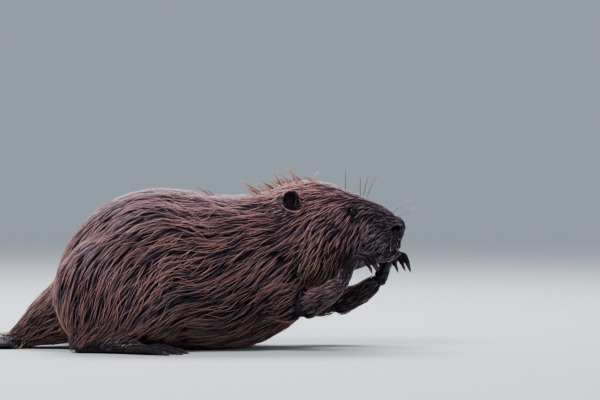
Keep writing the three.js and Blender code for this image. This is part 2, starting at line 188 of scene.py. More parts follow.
# %% Light
# name, place, point it is aimed at, width and height, power, tone
PANELS = [
    ("key_panel", (-1.1, -1.5, 2.4), (0.05, 0, 0.12), (1.3, 1.0), 74, (0.93, 0.94, 1.0)),
    ("sheen_panel", (0.1, 1.2, 1.9), (0.1, 0, 0.15), (2.4, 0.9), 78, (0.86, 0.92, 1.0)),
    ("front_panel", (1.8, -2.2, 0.9), (0.2, 0, 0.12), (1.0, 1.0), 13, (0.86, 0.93, 1.0)),
]


def add_panel(name, place, aim, size, power, tone):
    data = bpy.data.lights.new(name, "AREA")
    data.shape = "RECTANGLE"
    data.size, data.size_y = size
    data.energy = power
    data.color = tone
    panel = bpy.data.objects.new(name, data)
    panel.location = place
    panel.rotation_euler = (Vector(aim) - Vector(place)).to_track_quat("-Z", "Y").to_euler()
    bpy.context.scene.collection.objects.link(panel)


def add_world(tone, strength):
    world = bpy.data.worlds.new("room")
    world.use_nodes = True
    set_sockets(world.node_tree.nodes["Background"], Color=tone, Strength=strength)
    bpy.context.scene.world = world


add_world(ROOM_TONE, ROOM_LIGHT)
for panel in PANELS:
    add_panel(*panel)
bpy.context.scene.view_settings.view_transform = "AgX"
bpy.context.scene.view_settings.look = "AgX - Medium High Contrast"
print("lights:", len(PANELS))

# %% [markdown]
# The skin, first step: gather the flesh. On the animal, skin runs without a break from the
# nose to the tail. The solids are many pieces with thin gaps between them. They could be
# joined one by one with booleans, but those often fail on faces that nearly touch. Here
# each is swollen a little, so that neighbours overlap, and all are laid into one mesh. Each
# face remembers which solid it came from, because the coat will differ from part to part.

# %% Gather the solids of the flesh
LIMBS = ["ear", "haunch", "hind_foot", "upper_arm", "forearm", "forepaw"]
FLESH = ["trunk", "neck", "head", "lower_jaw", "nose", "tail_root", "tail"]
FLESH += [limb + "_" + side for side in SIDES for limb in LIMBS]
SWELL = 0.4 * MM


def gathered_flesh(nodes):
    """Solids of flesh in one bmesh, swollen, with the number of the node on each face."""
    joined = bmesh.new()
    for node in nodes:
        part = bmesh.new()
        part.from_mesh(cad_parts[node].data)
        bmesh.ops.remove_doubles(part, verts=part.verts, dist=1e-6)
        part.normal_update()
        for vertex in part.verts:
            vertex.co += vertex.normal * SWELL
        for face in part.faces:
            face.material_index = FLESH.index(node)
        mesh = bpy.data.meshes.new("part")
        part.to_mesh(mesh)
        part.free()
        joined.from_mesh(mesh)
        bpy.data.meshes.remove(mesh)
    return joined


flesh = gathered_flesh(FLESH)
flesh_tree = BVHTree.FromBMesh(flesh)
flesh_of_face = np.array([face.material_index for face in flesh.faces])
print("flesh of", len(FLESH), "solids with", len(flesh_of_face), "faces")

# %% [markdown]
# The skin, second step: one body. The overlapping solids are melted into one closed surface
# of small squares by a voxel remesh, which doesn't mind how they cross. A shrinkwrap from
# outside would bridge the folds between the limbs. The forepaws are left out here and get
# much smaller squares of their own, or their fingers would melt together.

# %% Melt the flesh into one surface
VOXEL = 2.2 * MM
PAWS = {"forepaw_" + side: "forearm_" + side for side in SIDES}


def remeshed(source, voxel):
    piece = bpy.data.objects.new("rough_skin", source)
    bpy.context.scene.collection.objects.link(piece)
    modifier = piece.modifiers.new("melt", "REMESH")
    modifier.mode = "VOXEL"
    modifier.voxel_size = voxel
    graph = bpy.context.evaluated_depsgraph_get()
    mesh = bpy.data.meshes.new_from_object(piece.evaluated_get(graph))
    bpy.data.objects.remove(piece)
    return mesh


def coordinates(mesh):
    values = np.empty(len(mesh.vertices) * 3, np.float32)
    mesh.vertices.foreach_get("co", values)
    return values.reshape(-1, 3).astype(float)


def melted(nodes, voxel, change=None):
    """One closed surface round the given nodes."""
    gathered = gathered_flesh(nodes)
    if change:
        change(gathered)
    mesh = bpy.data.meshes.new("flesh")
    gathered.to_mesh(mesh)
    gathered.free()
    return remeshed(mesh, voxel)


skin_mesh = melted([node for node in FLESH if node not in PAWS], VOXEL)
print("one surface of", len(skin_mesh.polygons), "squares")

# %% [markdown]
# The wrists. Fur runs from the forearm over the root of the paw, so the seam between the
# two has to lie under it. Melting paw and arm together would need small squares for the
# whole arm. Instead the wrist end of each paw is drawn out into its forearm, and the two
# surfaces slide one into the other.

# %% Paws with drawn-out wrists
PAW_VOXEL = 0.9 * MM
WRIST_POINTS = 9  # the points of a paw nearest to its arm, which end the wrist
WRIST_DEPTH, WRIST_TAPER = 13 * MM, 0.72


def drawn_into(arm):
    """A change that stretches the end of a paw into the arm that carries it."""

    def draw_out(paw):
        ends = sorted(paw.verts, key=lambda v: (v.co - middle(arm)).length)[:WRIST_POINTS]
        wrist = sum((v.co for v in ends), Vector()) / len(ends)
        way = (middle(arm) - wrist).normalized()
        for vertex in ends:
            vertex.co = wrist + (vertex.co - wrist) * WRIST_TAPER + way * WRIST_DEPTH

    return draw_out


paw_meshes = [melted([paw], PAW_VOXEL, drawn_into(arm)) for paw, arm in PAWS.items()]
print("paws of", [len(paw.polygons) for paw in paw_meshes], "squares")

# %% [markdown]
# The nape. The solids carry a few blunt tufts on nape and crown, to show how far the coat
# reaches there. Skin has none. Smoothing alone would leave broad bumps, so the strip that
# holds the tufts is pressed down to a curve drawn through the skin on both sides of it. The
# hairs of the tufts are grown later.

# %% Press the tufts of the solids down
TUFT_ZONE = 17 * MM  # half the width of the strip along the back that holds them
BESIDE_ZONE = 5 * MM  # how far beside the strip the curve is measured
BACK_RADIUS = 75 * MM
TUFT_SLACK = 0.5 * MM
HAIR_START, HAIR_END = middle("neck").x - 60 * MM, middle("eye_right").x - 20 * MM
LOWEST_TUFT = middle("eye_right").z + 10 * MM


def press_tufts(mesh):
    places = coordinates(mesh)
    x, y, z = places.T
    off = np.abs(y)
    near_top = (x > HAIR_START) & (x < HAIR_END) & (z > LOWEST_TUFT)
    beside = near_top & (off > TUFT_ZONE) & (off < TUFT_ZONE + BESIDE_ZONE)
    line = np.polynomial.Polynomial.fit(x[beside], z[beside], 6)
    bulge = np.maximum(TUFT_ZONE**2 - y**2, 0) / (2 * BACK_RADIUS)
    zone = near_top & (off < TUFT_ZONE)
    excess = np.where(zone, np.maximum(z - line(x) - bulge - TUFT_SLACK, 0), 0)
    places[:, 2] -= excess
    mesh.vertices.foreach_set("co", places.astype(np.float32).ravel())
    print("the tallest tuft of the solids is pressed down by", round(float(excess.max()) / MM), "mm")
    return remeshed(mesh, VOXEL)


skin_mesh = press_tufts(skin_mesh)

# %% [markdown]
# Fine places. Lids, nostrils, ears and toes need smaller squares than the flank does. Small
# squares all over would make the model several times as heavy, so only those near the
# face, the ears and the hind feet are split. The forepaws join the same mesh here.

# %% Split the squares where the detail is fine
FINE = ["nose", "lower_jaw"]
FINE += [limb + "_" + side for side in SIDES for limb in ("ear", "hind_foot")]
FACE_START = middle("eye_right").x - 30 * MM


def nearest_flesh(points):
    faces = np.array([flesh_tree.find_nearest(Vector(p))[2] for p in points])
    return flesh_of_face[faces]


def split_fine_squares(mesh):
    places = coordinates(mesh)
    flesh_numbers = nearest_flesh(places)
    fine_numbers = [FLESH.index(node) for node in FINE]
    in_face = (flesh_numbers == FLESH.index("head")) & (places[:, 0] > FACE_START)
    fine = np.isin(flesh_numbers, fine_numbers) | in_face
    work = bmesh.new()
    work.from_mesh(mesh)
    work.verts.ensure_lookup_table()
    edges = [e for e in work.edges if fine[e.verts[0].index] and fine[e.verts[1].index]]
    bmesh.ops.subdivide_edges(work, edges=edges, cuts=1, use_grid_fill=True)
    bmesh.ops.triangulate(work, faces=[f for f in work.faces if len(f.verts) > 4])
    for paw in paw_meshes:
        work.from_mesh(paw)
    work.to_mesh(mesh)
    work.free()


split_fine_squares(skin_mesh)
print("with the fine squares", len(skin_mesh.polygons))

# %% [markdown]
# The coat's depth and length change over the body: long guard hair on back and flanks,
# short hair on the cheeks, almost none on the muzzle, and bare feet, paws, nose and tail.
# They could be painted on by hand, but a table with one row for each kind of flesh is
# easier to read and to change.

# %% How the coat changes over the body
# flesh: depth of the coat and length of a lock in mm; width of a strand, times STRAND_WIDTH;
# smoothing of the skin from 0 to 1
COAT = {
    "trunk": (9.0, 56, 1.3, 1.0),
    "haunch": (9.0, 52, 1.3, 1.0),
    "neck": (9.0, 52, 1.25, 1.0),
    "head": (7.0, 40, 1.2, 0.30),
    "lower_jaw": (2.4, 9, 1.0, 0.12),
    "nose": (0.4, 0, 0.9, 0.05),
    "tail_root": (6.5, 34, 1.3, 0.6),
    "tail": (1.2, 0, 1.0, 0.03),
    "ear": (0.7, 5, 0.6, 0.02),
    "hind_foot": (0.4, 0, 1.0, 0.03),
    "upper_arm": (7.0, 36, 1.2, 0.6),
    "forearm": (2.8, 13, 0.85, 0.14),
    "forepaw": (0.3, 0, 0.8, 0.07),
}
STRAND_WIDTH = 0.76  # mm


def kind(node):
    return node.replace("_right", "").replace("_left", "")


longest = max(COAT, key=lambda flesh_kind: COAT[flesh_kind][1])
print("the longest locks grow on the", longest, "and measure", COAT[longest][1], "mm")

# %% [markdown]
# The skin as arrays. Smoothing, blurring and growing hair all ask the same things of the
# skin: where its points lie, which are neighbours, and which way the surface faces. Blender
# could be asked for each point in turn, which takes minutes for a quarter of a million of
# them. Held as arrays, every step runs over all the points at once.

# %% The skin as arrays of points
class Surface:
    """The skin's points, with the sums that smoothing needs."""

    def __init__(self, mesh):
        self.mesh = mesh
        self.points = coordinates(mesh)
        ends = np.empty(len(mesh.edges) * 2, np.int32)
        mesh.edges.foreach_get("vertices", ends)
        self.a, self.b = ends.reshape(-1, 2).T
        self.count = np.bincount(np.concatenate([self.a, self.b]), minlength=len(self.points))

    def mean_around(self, values):
        """For each point, the mean of its neighbours' values."""
        size = len(self.points)
        sums = []
        for column in np.atleast_2d(values.T):
            from_a = np.bincount(self.a, column[self.b], size)
            from_b = np.bincount(self.b, column[self.a], size)
            sums.append(from_a + from_b)
        means = np.array(sums) / self.count
        return means.T if values.ndim > 1 else means[0]

    def blurred(self, values, rounds):
        for _ in range(rounds):
            values = (values + self.mean_around(values)) / 2
        return values

    def store(self):
        self.mesh.vertices.foreach_set("co", self.points.astype(np.float32).ravel())
        self.mesh.update()

    def normals(self):
        self.store()
        values = np.empty(len(self.points) * 3, np.float32)
        self.mesh.vertices.foreach_get("normal", values)
        return values.reshape(-1, 3).astype(float)


skin = Surface(skin_mesh)
flesh_at = nearest_flesh(skin.points)
kind_at = np.array([kind(FLESH[n]) for n in flesh_at])
paw_start = len(skin.points) - sum(len(paw.vertices) for paw in paw_meshes)
inside_arm = (np.arange(len(skin.points)) >= paw_start) & (kind_at == "forearm")
print("the skin has", len(skin.points), "points, of them", inside_arm.sum(), "inside the forearms")

# %% [markdown]
# Head and nose. A beaver's fur gets shorter and finer from the ears towards the nose, and
# the upper part of the snout is furred while the pad is bare. A second table of regions
# would give steps, so the head's row is faded along its length, and only the edge of the
# pad is a limit.

# %% Thinner fur towards the nose
FACE_LOSS = np.array([0.85, 0.88, 0.45, 0])  # what each value has lost at the nose
NOSE_FUR = 4.6  # mm
PAD_TOP, PAD_LENGTH = 18.5 * MM, 4.5 * MM

table = np.array([COAT[kind(node)] for node in FLESH])[flesh_at]
nose_low, nose_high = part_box("nose")
ear_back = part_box("ear_right")[0].x
face_share = np.clip((skin.points[:, 0] - ear_back) / (nose_high.x - ear_back), 0, 1)
on_head = flesh_at == FLESH.index("head")
table[on_head] *= 1 - face_share[on_head, None] * FACE_LOSS
furred_nose = (kind_at == "nose") & (skin.points[:, 2] > nose_low.z + PAD_TOP)
furred_nose &= skin.points[:, 0] < nose_high.x - PAD_LENGTH
table[furred_nose, 1] = NOSE_FUR
print("fur covers", round(100 * float(furred_nose[kind_at == "nose"].mean())), "% of the nose")

# %% [markdown]
# Ears. They are small and round, with short velvet outside, a longer fringe on the front
# edge, and hair round them that is kept short so that they aren't buried. The places are
# measured in each ear's own box, so they stay right if the ear is moved.

# %% Fur on and round the ears
FRINGE = (1.6, 7)  # more depth and length at the front edge of an ear, in mm
ROUND_EAR = 9 * MM  # how far round an ear the fur is short
ROUND_EAR_FUR = (3.2, 13)  # its depth and length in mm
MORE_BEHIND = 0.7  # how much further that zone reaches behind the ear
EAR_SEARCH = 35 * MM


def share_of_ear(points, side):
    """Places in an ear's own box, from -1 to 1: forward, out and up."""
    low, high = (np.array(v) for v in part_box("ear_" + side))
    return (points - (low + high) / 2) / ((high - low) / 2)


def front_of_ears(points):
    """From 0 at 0.45 of the way to an ear's front edge up to 1 at 0.78 of it."""
    front = np.zeros(len(points))
    for side, sign in SIDES.items():
        forward = share_of_ear(points, side)[:, 0]
        front += np.clip(forward * 3 - 1.35, 0, 1) * (points[:, 1] * sign > 0)
    return front


def tree_of(node):
    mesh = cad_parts[node].data
    return BVHTree.FromPolygons([v.co for v in mesh.vertices], [f.vertices for f in mesh.polygons])


def distance_from(node, points):
    tree = tree_of(node)
    return np.array([tree.find_nearest(Vector(p))[3] for p in points])


def shorten_round_ear(side):
    ear_middle = np.array(middle("ear_" + side))
    in_reach = np.linalg.norm(skin.points - ear_middle, axis=1) < EAR_SEARCH
    near = np.flatnonzero(in_reach & (kind_at != "ear"))
    behind = np.clip((ear_middle[0] - skin.points[near, 0]) / (10 * MM), 0, 1)
    close = distance_from("ear_" + side, skin.points[near]) < ROUND_EAR * (1 + MORE_BEHIND * behind)
    table[near[close], :2] = ROUND_EAR_FUR
    return close.sum()


ear_front = front_of_ears(skin.points) * (kind_at == "ear")
for column, more in enumerate(FRINGE):
    table[:, column] += ear_front * more
print("short fur round the ears at", sum(shorten_round_ear(side) for side in SIDES), "points")

# %% [markdown]
# Wrists, ankles and soles. Fur ends in a short soft cuff over the wrist and the ankle, and
# the haunch is worn short where it meets the floor. The cuffs are found by their distance
# from the limb above, since a straight cut would show as a line.

# %% Cuffs of short fur, and the low part of the haunch
CUFF_FUR = (1.7, 7.5)  # depth and length in mm
CUFF_REACH = {"forepaw": ("forearm", 13 * MM), "hind_foot": ("haunch", 16 * MM)}
WORN_TOP, WORN_DROP = 55 * MM, 40 * MM  # the height where the wear starts, and how far down it grows
WORN_LOSS = (0.4, 0.72)  # the share of depth and length that is gone at the bottom

short_fur = np.zeros(len(skin.points), bool)
for side in SIDES:
    for limb, (above, reach) in CUFF_REACH.items():
        here = np.flatnonzero(flesh_at == FLESH.index(limb + "_" + side))
        short_fur[here] = distance_from(above + "_" + side, skin.points[here]) < reach
table[short_fur, :2] = CUFF_FUR
worn = (kind_at == "haunch") * np.clip((WORN_TOP - skin.points[:, 2]) / WORN_DROP, 0, 1)
for column, loss in enumerate(WORN_LOSS):
    table[:, column] *= 1 - loss * worn
print("the cuffs cover", short_fur.sum(), "points")

# %% [markdown]
# No steps. On the animal one length of fur passes into the next without a line. The values
# could be mixed by hand at each border, but blurring them over the skin, from neighbour to
# neighbour, does it everywhere at once.

# %% Blur the values over the skin
BLUR_ROUNDS = 30
LENGTH_BLUR_ROUNDS = 8  # fewer, so that bare skin stays bare

depth = skin.blurred(table[:, 0] * MM, BLUR_ROUNDS)
lock_length = np.maximum(skin.blurred(table[:, 1] * MM, LENGTH_BLUR_ROUNDS), 0)
strand_width = skin.blurred(table[:, 2] * STRAND_WIDTH * MM, BLUR_ROUNDS)
softness = skin.blurred(table[:, 3], BLUR_ROUNDS)
print("coat depth from", round(depth.min() / MM, 1), "to", round(depth.max() / MM, 1), "mm")

# %% [markdown]
# A smooth skin. The solids are faceted, and skin isn't. A smooth modifier set the same for
# the whole body would wear the fingers away. Here many light rounds melt the facets and the
# folds where haunch and shoulder meet the trunk, each point by its own softness. Where a
# forearm ends round a wrist, its rim is then tucked under the skin of the paw.

# %% Rules for smoothing
CUFF_START, CUFF_END, CUFF_DEPTH = 3.5 * MM, 9 * MM, 2.6 * MM


def relax(surface, amount, rounds):
    for _ in range(rounds):
        pull = surface.mean_around(surface.points) - surface.points
        surface.points += pull * amount[:, None]


def depth_inside(points):
    """How deep each point lies inside the solids. Outside, it is negative."""
    result = np.empty(len(points))
    for i, p in enumerate(points):
        place, normal, _, distance = flesh_tree.find_nearest(Vector(p))
        outside = (Vector(p) - place).dot(normal) > 0
        result[i] = -distance if outside else distance
    return result - SWELL


def tuck_in_cuffs():
    """Where a forearm ends round a wrist, its rim dives under the skin of the paw."""
    moved = 0
    for paw, arm in PAWS.items():
        tree = tree_of(paw)
        for i in np.flatnonzero(np.isin(flesh_at[:paw_start], [FLESH.index(arm), FLESH.index(paw)])):
            here = Vector(skin.points[i])
            place, normal, _, gap = tree.find_nearest(here)
            share = min(max((CUFF_END - gap) / (CUFF_END - CUFF_START), 0), 1)
            skin.points[i] = here.lerp(place - normal * CUFF_DEPTH, share)
            moved += share > 0
    return moved


def usual_depth():
    """The middle value of the skin's depth in mm, from one point in fifty."""
    return round(float(np.median(depth_inside(skin.points[::50]))) / MM, 1)


print("before smoothing the skin lies", usual_depth(), "mm deep")

# %% [markdown]
# Back to the right depth. Smoothing shrinks a body, so each point is then set back to the
# right distance inside the solids: the depth of the coat, which lies between the skin and
# the outline. Scaling the body up again would miss the thin parts. Paws and feet are bony,
# so there the grooves between the digits are deepened instead.

# %% Smooth the skin and sink it by the coat's depth
SMOOTHING_ROUNDS = 160
LIGHT_ROUNDS = 12
EDGE_ROUNDS = 4  # a narrow blur, for the edge of bare skin
DIGIT_ROUNDS = 14  # a blur about as wide as a digit
KNUCKLES = 0.75  # how much the grooves between the digits are deepened
MOST_SHIFT, LEAST_SHIFT = 1.3, 0.9 * MM  # limits of the shift: in coat depths, and on bare skin
SOLE_HEIGHT = 0.3 * MM

relax(skin, softness, SMOOTHING_ROUNDS)
inward = -skin.normals()
shift = skin.blurred(depth - depth_inside(skin.points), LIGHT_ROUNDS)
limit = np.maximum(depth * MOST_SHIFT, LEAST_SHIFT)
skin.points += inward * np.clip(shift, -limit, limit)[:, None]
relax(skin, softness, LIGHT_ROUNDS)
print("points tucked in at the wrists:", tuck_in_cuffs())
bony = skin.blurred(np.isin(kind_at, ["forepaw", "hind_foot"]).astype(float), EDGE_ROUNDS)
skin.points += (skin.points - skin.blurred(skin.points, DIGIT_ROUNDS)) * bony[:, None] * KNUCKLES
skin.points[:, 2] = np.maximum(skin.points[:, 2], SOLE_HEIGHT)
print("the skin now lies", usual_depth(), "mm deep")

# %% [markdown]
# The face. A beaver's face is a blunt wedge: small eyes set high under a brow, full cheeks,
# and a swollen upper lip that carries the whiskers. It could be sculpted by hand, but then
# it couldn't be measured or changed later. So each form is a soft push or pull on the skin,
# placed from the eye, the nose or the jaw, and they all follow the same two rules.

# %% Rules for soft forms
def hill(distance, reach):
    """1 at the middle, falling smoothly to 0 at the reach."""
    share = np.clip(1 - (distance / reach) ** 2, 0, 1)
    return share * share


def smooth_step(value, start, end):
    share = np.clip((value - start) / (end - start), 0, 1)
    return share * share * (3 - 2 * share)


jaw_low, jaw_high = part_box("lower_jaw")
is_face = np.isin(flesh_at, [FLESH.index(n) for n in ("head", "lower_jaw", "nose")])
eyes = {side: np.array(middle("eye_" + side)) for side in SIDES}
eye = eyes["right"]
print("the face has", is_face.sum(), "points")

# %% Brow, cheek and lip
LIP_PULL = 5.5 * MM  # how far the front of the lip lies behind the nose
SNOUT_SQUEEZE = 0.20
EYE_PLACE = (eye[0], eye[2])
# form: the place it is measured from, how far forward and up of it in mm, how narrow it is
# along and across, its reach in mm, and how far it stands out in mm
FACE_FORMS = {
    "brow": (EYE_PLACE, (-1, 12), (1, 1.6), 12, 1.8),
    "cheek": (EYE_PLACE, (6, -24), (0.7, 1), 20, 1.2),
    "lip": ((nose_low.x, nose_low.z - 4 * MM), (0, 0), (0.75, 1), 17, 1.7),
    "chin": ((jaw_high.x, jaw_low.z), (-14, 8), (0.8, 1), 16, 1.0),
    "eye socket": (EYE_PLACE, (0, 0), (1, 1), 13, -1.2),
    "tear groove": (EYE_PLACE, (12, -3), (0.5, 1), 5, -0.7),
}

front_lip = hill(skin.points[:, 2] - nose_low.z + 7 * MM, 17 * MM) * is_face
front_lip *= smooth_step(skin.points[:, 0], nose_high.x - 22 * MM, nose_high.x - 4 * MM)
skin.points[:, 0] -= LIP_PULL * front_lip
snout = smooth_step(skin.points[:, 0], nose_low.x + 8 * MM, nose_high.x)
snout *= smooth_step(skin.points[:, 2], nose_low.z - 10 * MM, nose_low.z + 6 * MM) * is_face
skin.points[:, 1] *= 1 - SNOUT_SQUEEZE * snout
skin_x, skin_y, skin_z = skin.points.T
on_side = smooth_step(np.abs(skin_y), 6 * MM, 16 * MM) * is_face
from_eye = np.hypot(skin_x - eye[0], skin_z - eye[2])
push = np.zeros(len(skin.points))
for (x, z), (forward, up), (narrow_x, narrow_z), reach, amount in FACE_FORMS.values():
    gap_x = (skin_x - x - forward * MM) * narrow_x
    gap_z = (skin_z - z - up * MM) * narrow_z
    push += amount * hill(np.hypot(gap_x, gap_z), reach * MM)
push *= on_side
print("brow and lip rise up to", round(float(push.max()), 1), "mm")

# %% [markdown]
# Nostrils and mouth. A beaver's nostrils are slits that open sideways under a raised rim,
# and the mouth is a line that runs back under the lip. Cut with booleans, they would have
# sharp edges. Pushed in from the surface they stay soft, and the skin stays closed.

# %% Nostrils
NOSTRIL_X = nose_high.x - 16.0 * MM
NOSTRIL_Z = nose_low.z + 15.8 * MM
SLIT_FORWARD, SLIT_UP = 0.97, 0.24  # the way the slit runs
SLIT_LENGTH = 1.75  # against its height
SLIT_RADIUS, RIM_RADIUS, RIM_WIDTH = 5.0 * MM, 5.5 * MM, 2.0 * MM
SLIT_PUSH, RIM_PUSH = -5.5, 1.1  # mm

gap_x, gap_z = skin_x - NOSTRIL_X, skin_z - NOSTRIL_Z
along_slit = gap_x * SLIT_FORWARD + gap_z * SLIT_UP
across_slit = gap_z * SLIT_FORWARD - gap_x * SLIT_UP
hole = np.hypot(along_slit / SLIT_LENGTH, across_slit)
nostril = hill(hole, SLIT_RADIUS) * on_side
rim = hill(np.abs(hole - RIM_RADIUS), RIM_WIDTH) * on_side
rim *= 0.5 + 0.5 * smooth_step(across_slit, -3 * MM, 3 * MM)
push += RIM_PUSH * rim + SLIT_PUSH * nostril
print("nostrils lie", round((eye[2] - NOSTRIL_Z) / MM), "mm below the eyes")

# %% Mouth line, and the split under the nose
MOUTH_SLOPE = 0.08
MOUTH_WIDTH, SPLIT_WIDTH = 3.4 * MM, 2.6 * MM
MOUTH_PUSH, SPLIT_PUSH = 2.6, 1.8  # mm, inward
FACE_SOFTNESS, FACE_ROUNDS = 0.25, 2  # a last light smoothing of the face

mouth_height = jaw_high.z - 1.5 * MM - MOUTH_SLOPE * (nose_high.x - skin_x)
mouth_line = hill(skin_z - mouth_height, MOUTH_WIDTH)
mouth_line *= smooth_step(skin_x, jaw_low.x + 4 * MM, jaw_low.x + 18 * MM) * is_face
under_nose = smooth_step(skin_x, nose_low.x, nose_low.x + 8 * MM)
split = hill(skin_y, SPLIT_WIDTH) * under_nose
split *= smooth_step(skin_z, mouth_height - 2 * MM, mouth_height)
split *= 1 - smooth_step(skin_z, nose_low.z + 6 * MM, nose_low.z + 14 * MM)
push -= MOUTH_PUSH * mouth_line + SPLIT_PUSH * split * is_face
skin.points += skin.normals() * (push * MM)[:, None]
relax(skin, is_face * FACE_SOFTNESS, FACE_ROUNDS)
normals = skin.normals()
print("deepest push on the face", round(float(push.min()), 1), "mm")

# %% [markdown]
# The colours of the coat. It is a dark, cool brown underneath, with rusty locks over it. The
# pale sheen on the crown and the back is a painted highlight: coat that faces up is painted
# paler, and coat low down is painted darker as shade. An image could carry the colours, but it
# would need a clean map of a body with no seams. So the tone is worked out at each point from
# its place, from the way the surface faces and from how warm a lock is. The under-fur that
# shows between the locks needs the same tones, so skin and coat share these rules. Under the
# coat the skin is also painted near-black, as the shade in the gaps between the locks.

# %% Tones that skin and coat share
# Under-fur tone: the under-fur's own dark brown, darkened further as painted shade of the gaps between the
# locks.
UNDER_FUR_AND_GAP_SHADE = np.array([0.009, 0.006, 0.009])
DARK_LOCK = np.array([0.020, 0.013, 0.021])
MAUVE_LOCK = np.array([0.174, 0.115, 0.156])
RUST_LOCK = np.array([0.600, 0.306, 0.220])
# Painted sheen: the pale tone that coat facing up is mixed towards, on crown and back.
PAINTED_SHEEN_TONE = np.array([0.470, 0.280, 0.322])
MUZZLE_LOCK = np.array([0.165, 0.108, 0.128])
MAUVE_WARMTH = 0.45  # below it a lock is dark to mauve, above it mauve to rusty


def wander(points, wavelength, seed, waves=9):
    """A smooth value, mostly between -1 and 1, that drifts from place to place."""
    draw = np.random.default_rng(seed)
    turns = draw.normal(size=(waves, 3)) * 2 * math.pi / wavelength
    return np.sin(points @ turns.T + draw.uniform(0, 2 * math.pi, waves)).sum(1) / math.sqrt(waves)


def mixed(first, second, share):
    return first * (1 - share[:, None]) + second * share[:, None]


def lock_tone(warmth):
    tone = mixed(DARK_LOCK, MAUVE_LOCK, np.minimum(warmth / MAUVE_WARMTH, 1))
    return mixed(tone, RUST_LOCK, np.maximum(warmth - MAUVE_WARMTH, 0) / (1 - MAUVE_WARMTH))


print("a lock half way from mauve to rust", lock_tone(np.array([0.725]))[0].round(3))

# %% Where the coat is warm, with painted sheen on top and painted shade low down
NAPE_X = (middle("neck").x - 0.06, middle("neck").x)  # where the nape's tones fade in
NAPE_WARMTH = 0.16
NAPE_PAINTED_SHEEN = [0.56, 0.34, 0.20]  # how much more red, green and blue the sheen has there
SHEEN_FACING, SHEEN_HEIGHT, SHEEN_SHARE = (0.35, 0.9), (0.04, 0.12), 0.6
SHOULDER_BACK, SHOULDER_FRONT = (0.08, 0.14), (0.24, 0.30)
LOW_HEIGHT, LOW_SHADE = (0.02, 0.14), 0.40  # the low coat is darker by this share
SHOULDER_RISE = 0.06  # and on the shoulder that reaches this much higher


def coat_tone(points, normals_there, warmth):
    """The colour of the coat at a place. warmth from 0 to 1 picks a dark, mauve or rusty lock."""
    x, _, z = points.T
    nape = smooth_step(x, *NAPE_X)
    upper_neck = nape * smooth_step(z, eye[2] - 0.01, eye[2] + 0.01)
    upper_neck *= 1 - smooth_step(x, ear_back, ear_back + 0.04)
    warmth = np.clip(warmth + NAPE_WARMTH * upper_neck, 0, 1)
    # Painted sheen: coat that faces up, and lies high, is mixed towards a pale tone, more so on the nape.
    sheen = smooth_step(normals_there[:, 2] + 0.22 * nape, *SHEEN_FACING) * SHEEN_SHARE
    sheen *= smooth_step(z, *SHEEN_HEIGHT)
    pale = PAINTED_SHEEN_TONE * (1 + np.outer(nape, NAPE_PAINTED_SHEEN))
    tone = mixed(lock_tone(warmth), pale * (0.22 + 0.86 * warmth)[:, None], sheen)
    muzzle = smooth_step(x, FACE_START, nose_low.x)
    tone = mixed(tone, MUZZLE_LOCK * (0.06 + 2.1 * warmth)[:, None], muzzle * 0.8)
    # Painted shade: the coat low down, and a little higher on the shoulder, is darker.
    shoulder = smooth_step(x, *SHOULDER_BACK) * (1 - smooth_step(x, *SHOULDER_FRONT))
    low = 1 - smooth_step(z - SHOULDER_RISE * shoulder, *LOW_HEIGHT)
    return tone * (1 - LOW_SHADE * low)[:, None]


tones = coat_tone(skin.points, normals, 0.2 + 0.15 * wander(skin.points, 0.05, 3))
# Under the coat the skin takes the under-fur tone, partly as painted shade of the gaps between the locks.
tones = mixed(tones, UNDER_FUR_AND_GAP_SHADE, np.full(len(tones), 0.7))
print("under-fur tone on average", tones.mean(0).round(3))

# %% [markdown]
# Bare skin. Feet, paws, tail and nose pad are bare and almost black, a little speckled. The
# inside of an ear is darker still, with a pale rim painted along its lower back edge as a
# highlight. Eye rings are dark skin. Nostrils and the mouth line are painted near-black as
# the shade in their hollows, and the rim over each nostril is painted pale as a highlight.
# Separate materials would need hard borders between them. Here all are mixed into the same
# tones, and the share of bare skin is kept for the finish.

# %% Bare skin: feet, paws, tail, nose and ears
BARE_TONES = {
    "hind_foot": [0.030, 0.023, 0.024],
    "forepaw": [0.017, 0.0085, 0.012],
    "tail": [0.036, 0.033, 0.033],
    "nose": [0.010, 0.008, 0.010],
}
EAR_INSIDE = np.array([0.003, 0.002, 0.003])
EAR_RIM_HIGHLIGHT = np.array([0.120, 0.105, 0.120])

bare = np.zeros(len(skin.points))
speckle = 1 + 0.22 * wander(skin.points, 0.02, 5) + 0.12 * wander(skin.points, 0.006, 6)
for place, tone in BARE_TONES.items():
    furless = (kind_at == place) & ~furred_nose & ~short_fur
    is_here = skin.blurred(furless.astype(float), EDGE_ROUNDS)
    bare = np.maximum(bare, is_here)
    tones = mixed(tones, np.array(tone) * speckle[:, None], is_here)
for side in SIDES:
    share = share_of_ear(skin.points, side)
    # Painted highlight: a pale rim along the lower back edge of each ear.
    edge = smooth_step(np.hypot(share[:, 0], share[:, 2]), 0.76, 0.98)
    edge *= smooth_step(-share[:, 0] * 0.5 - share[:, 2], 0.1, 0.9)
    ear_here = (kind_at == "ear") & (skin.points[:, 1] * SIDES[side] > 0)
    tones = mixed(tones, mixed(EAR_INSIDE, EAR_RIM_HIGHLIGHT, edge), ear_here.astype(float))
print("bare skin covers", round(100 * float(bare.mean())), "% of the points")

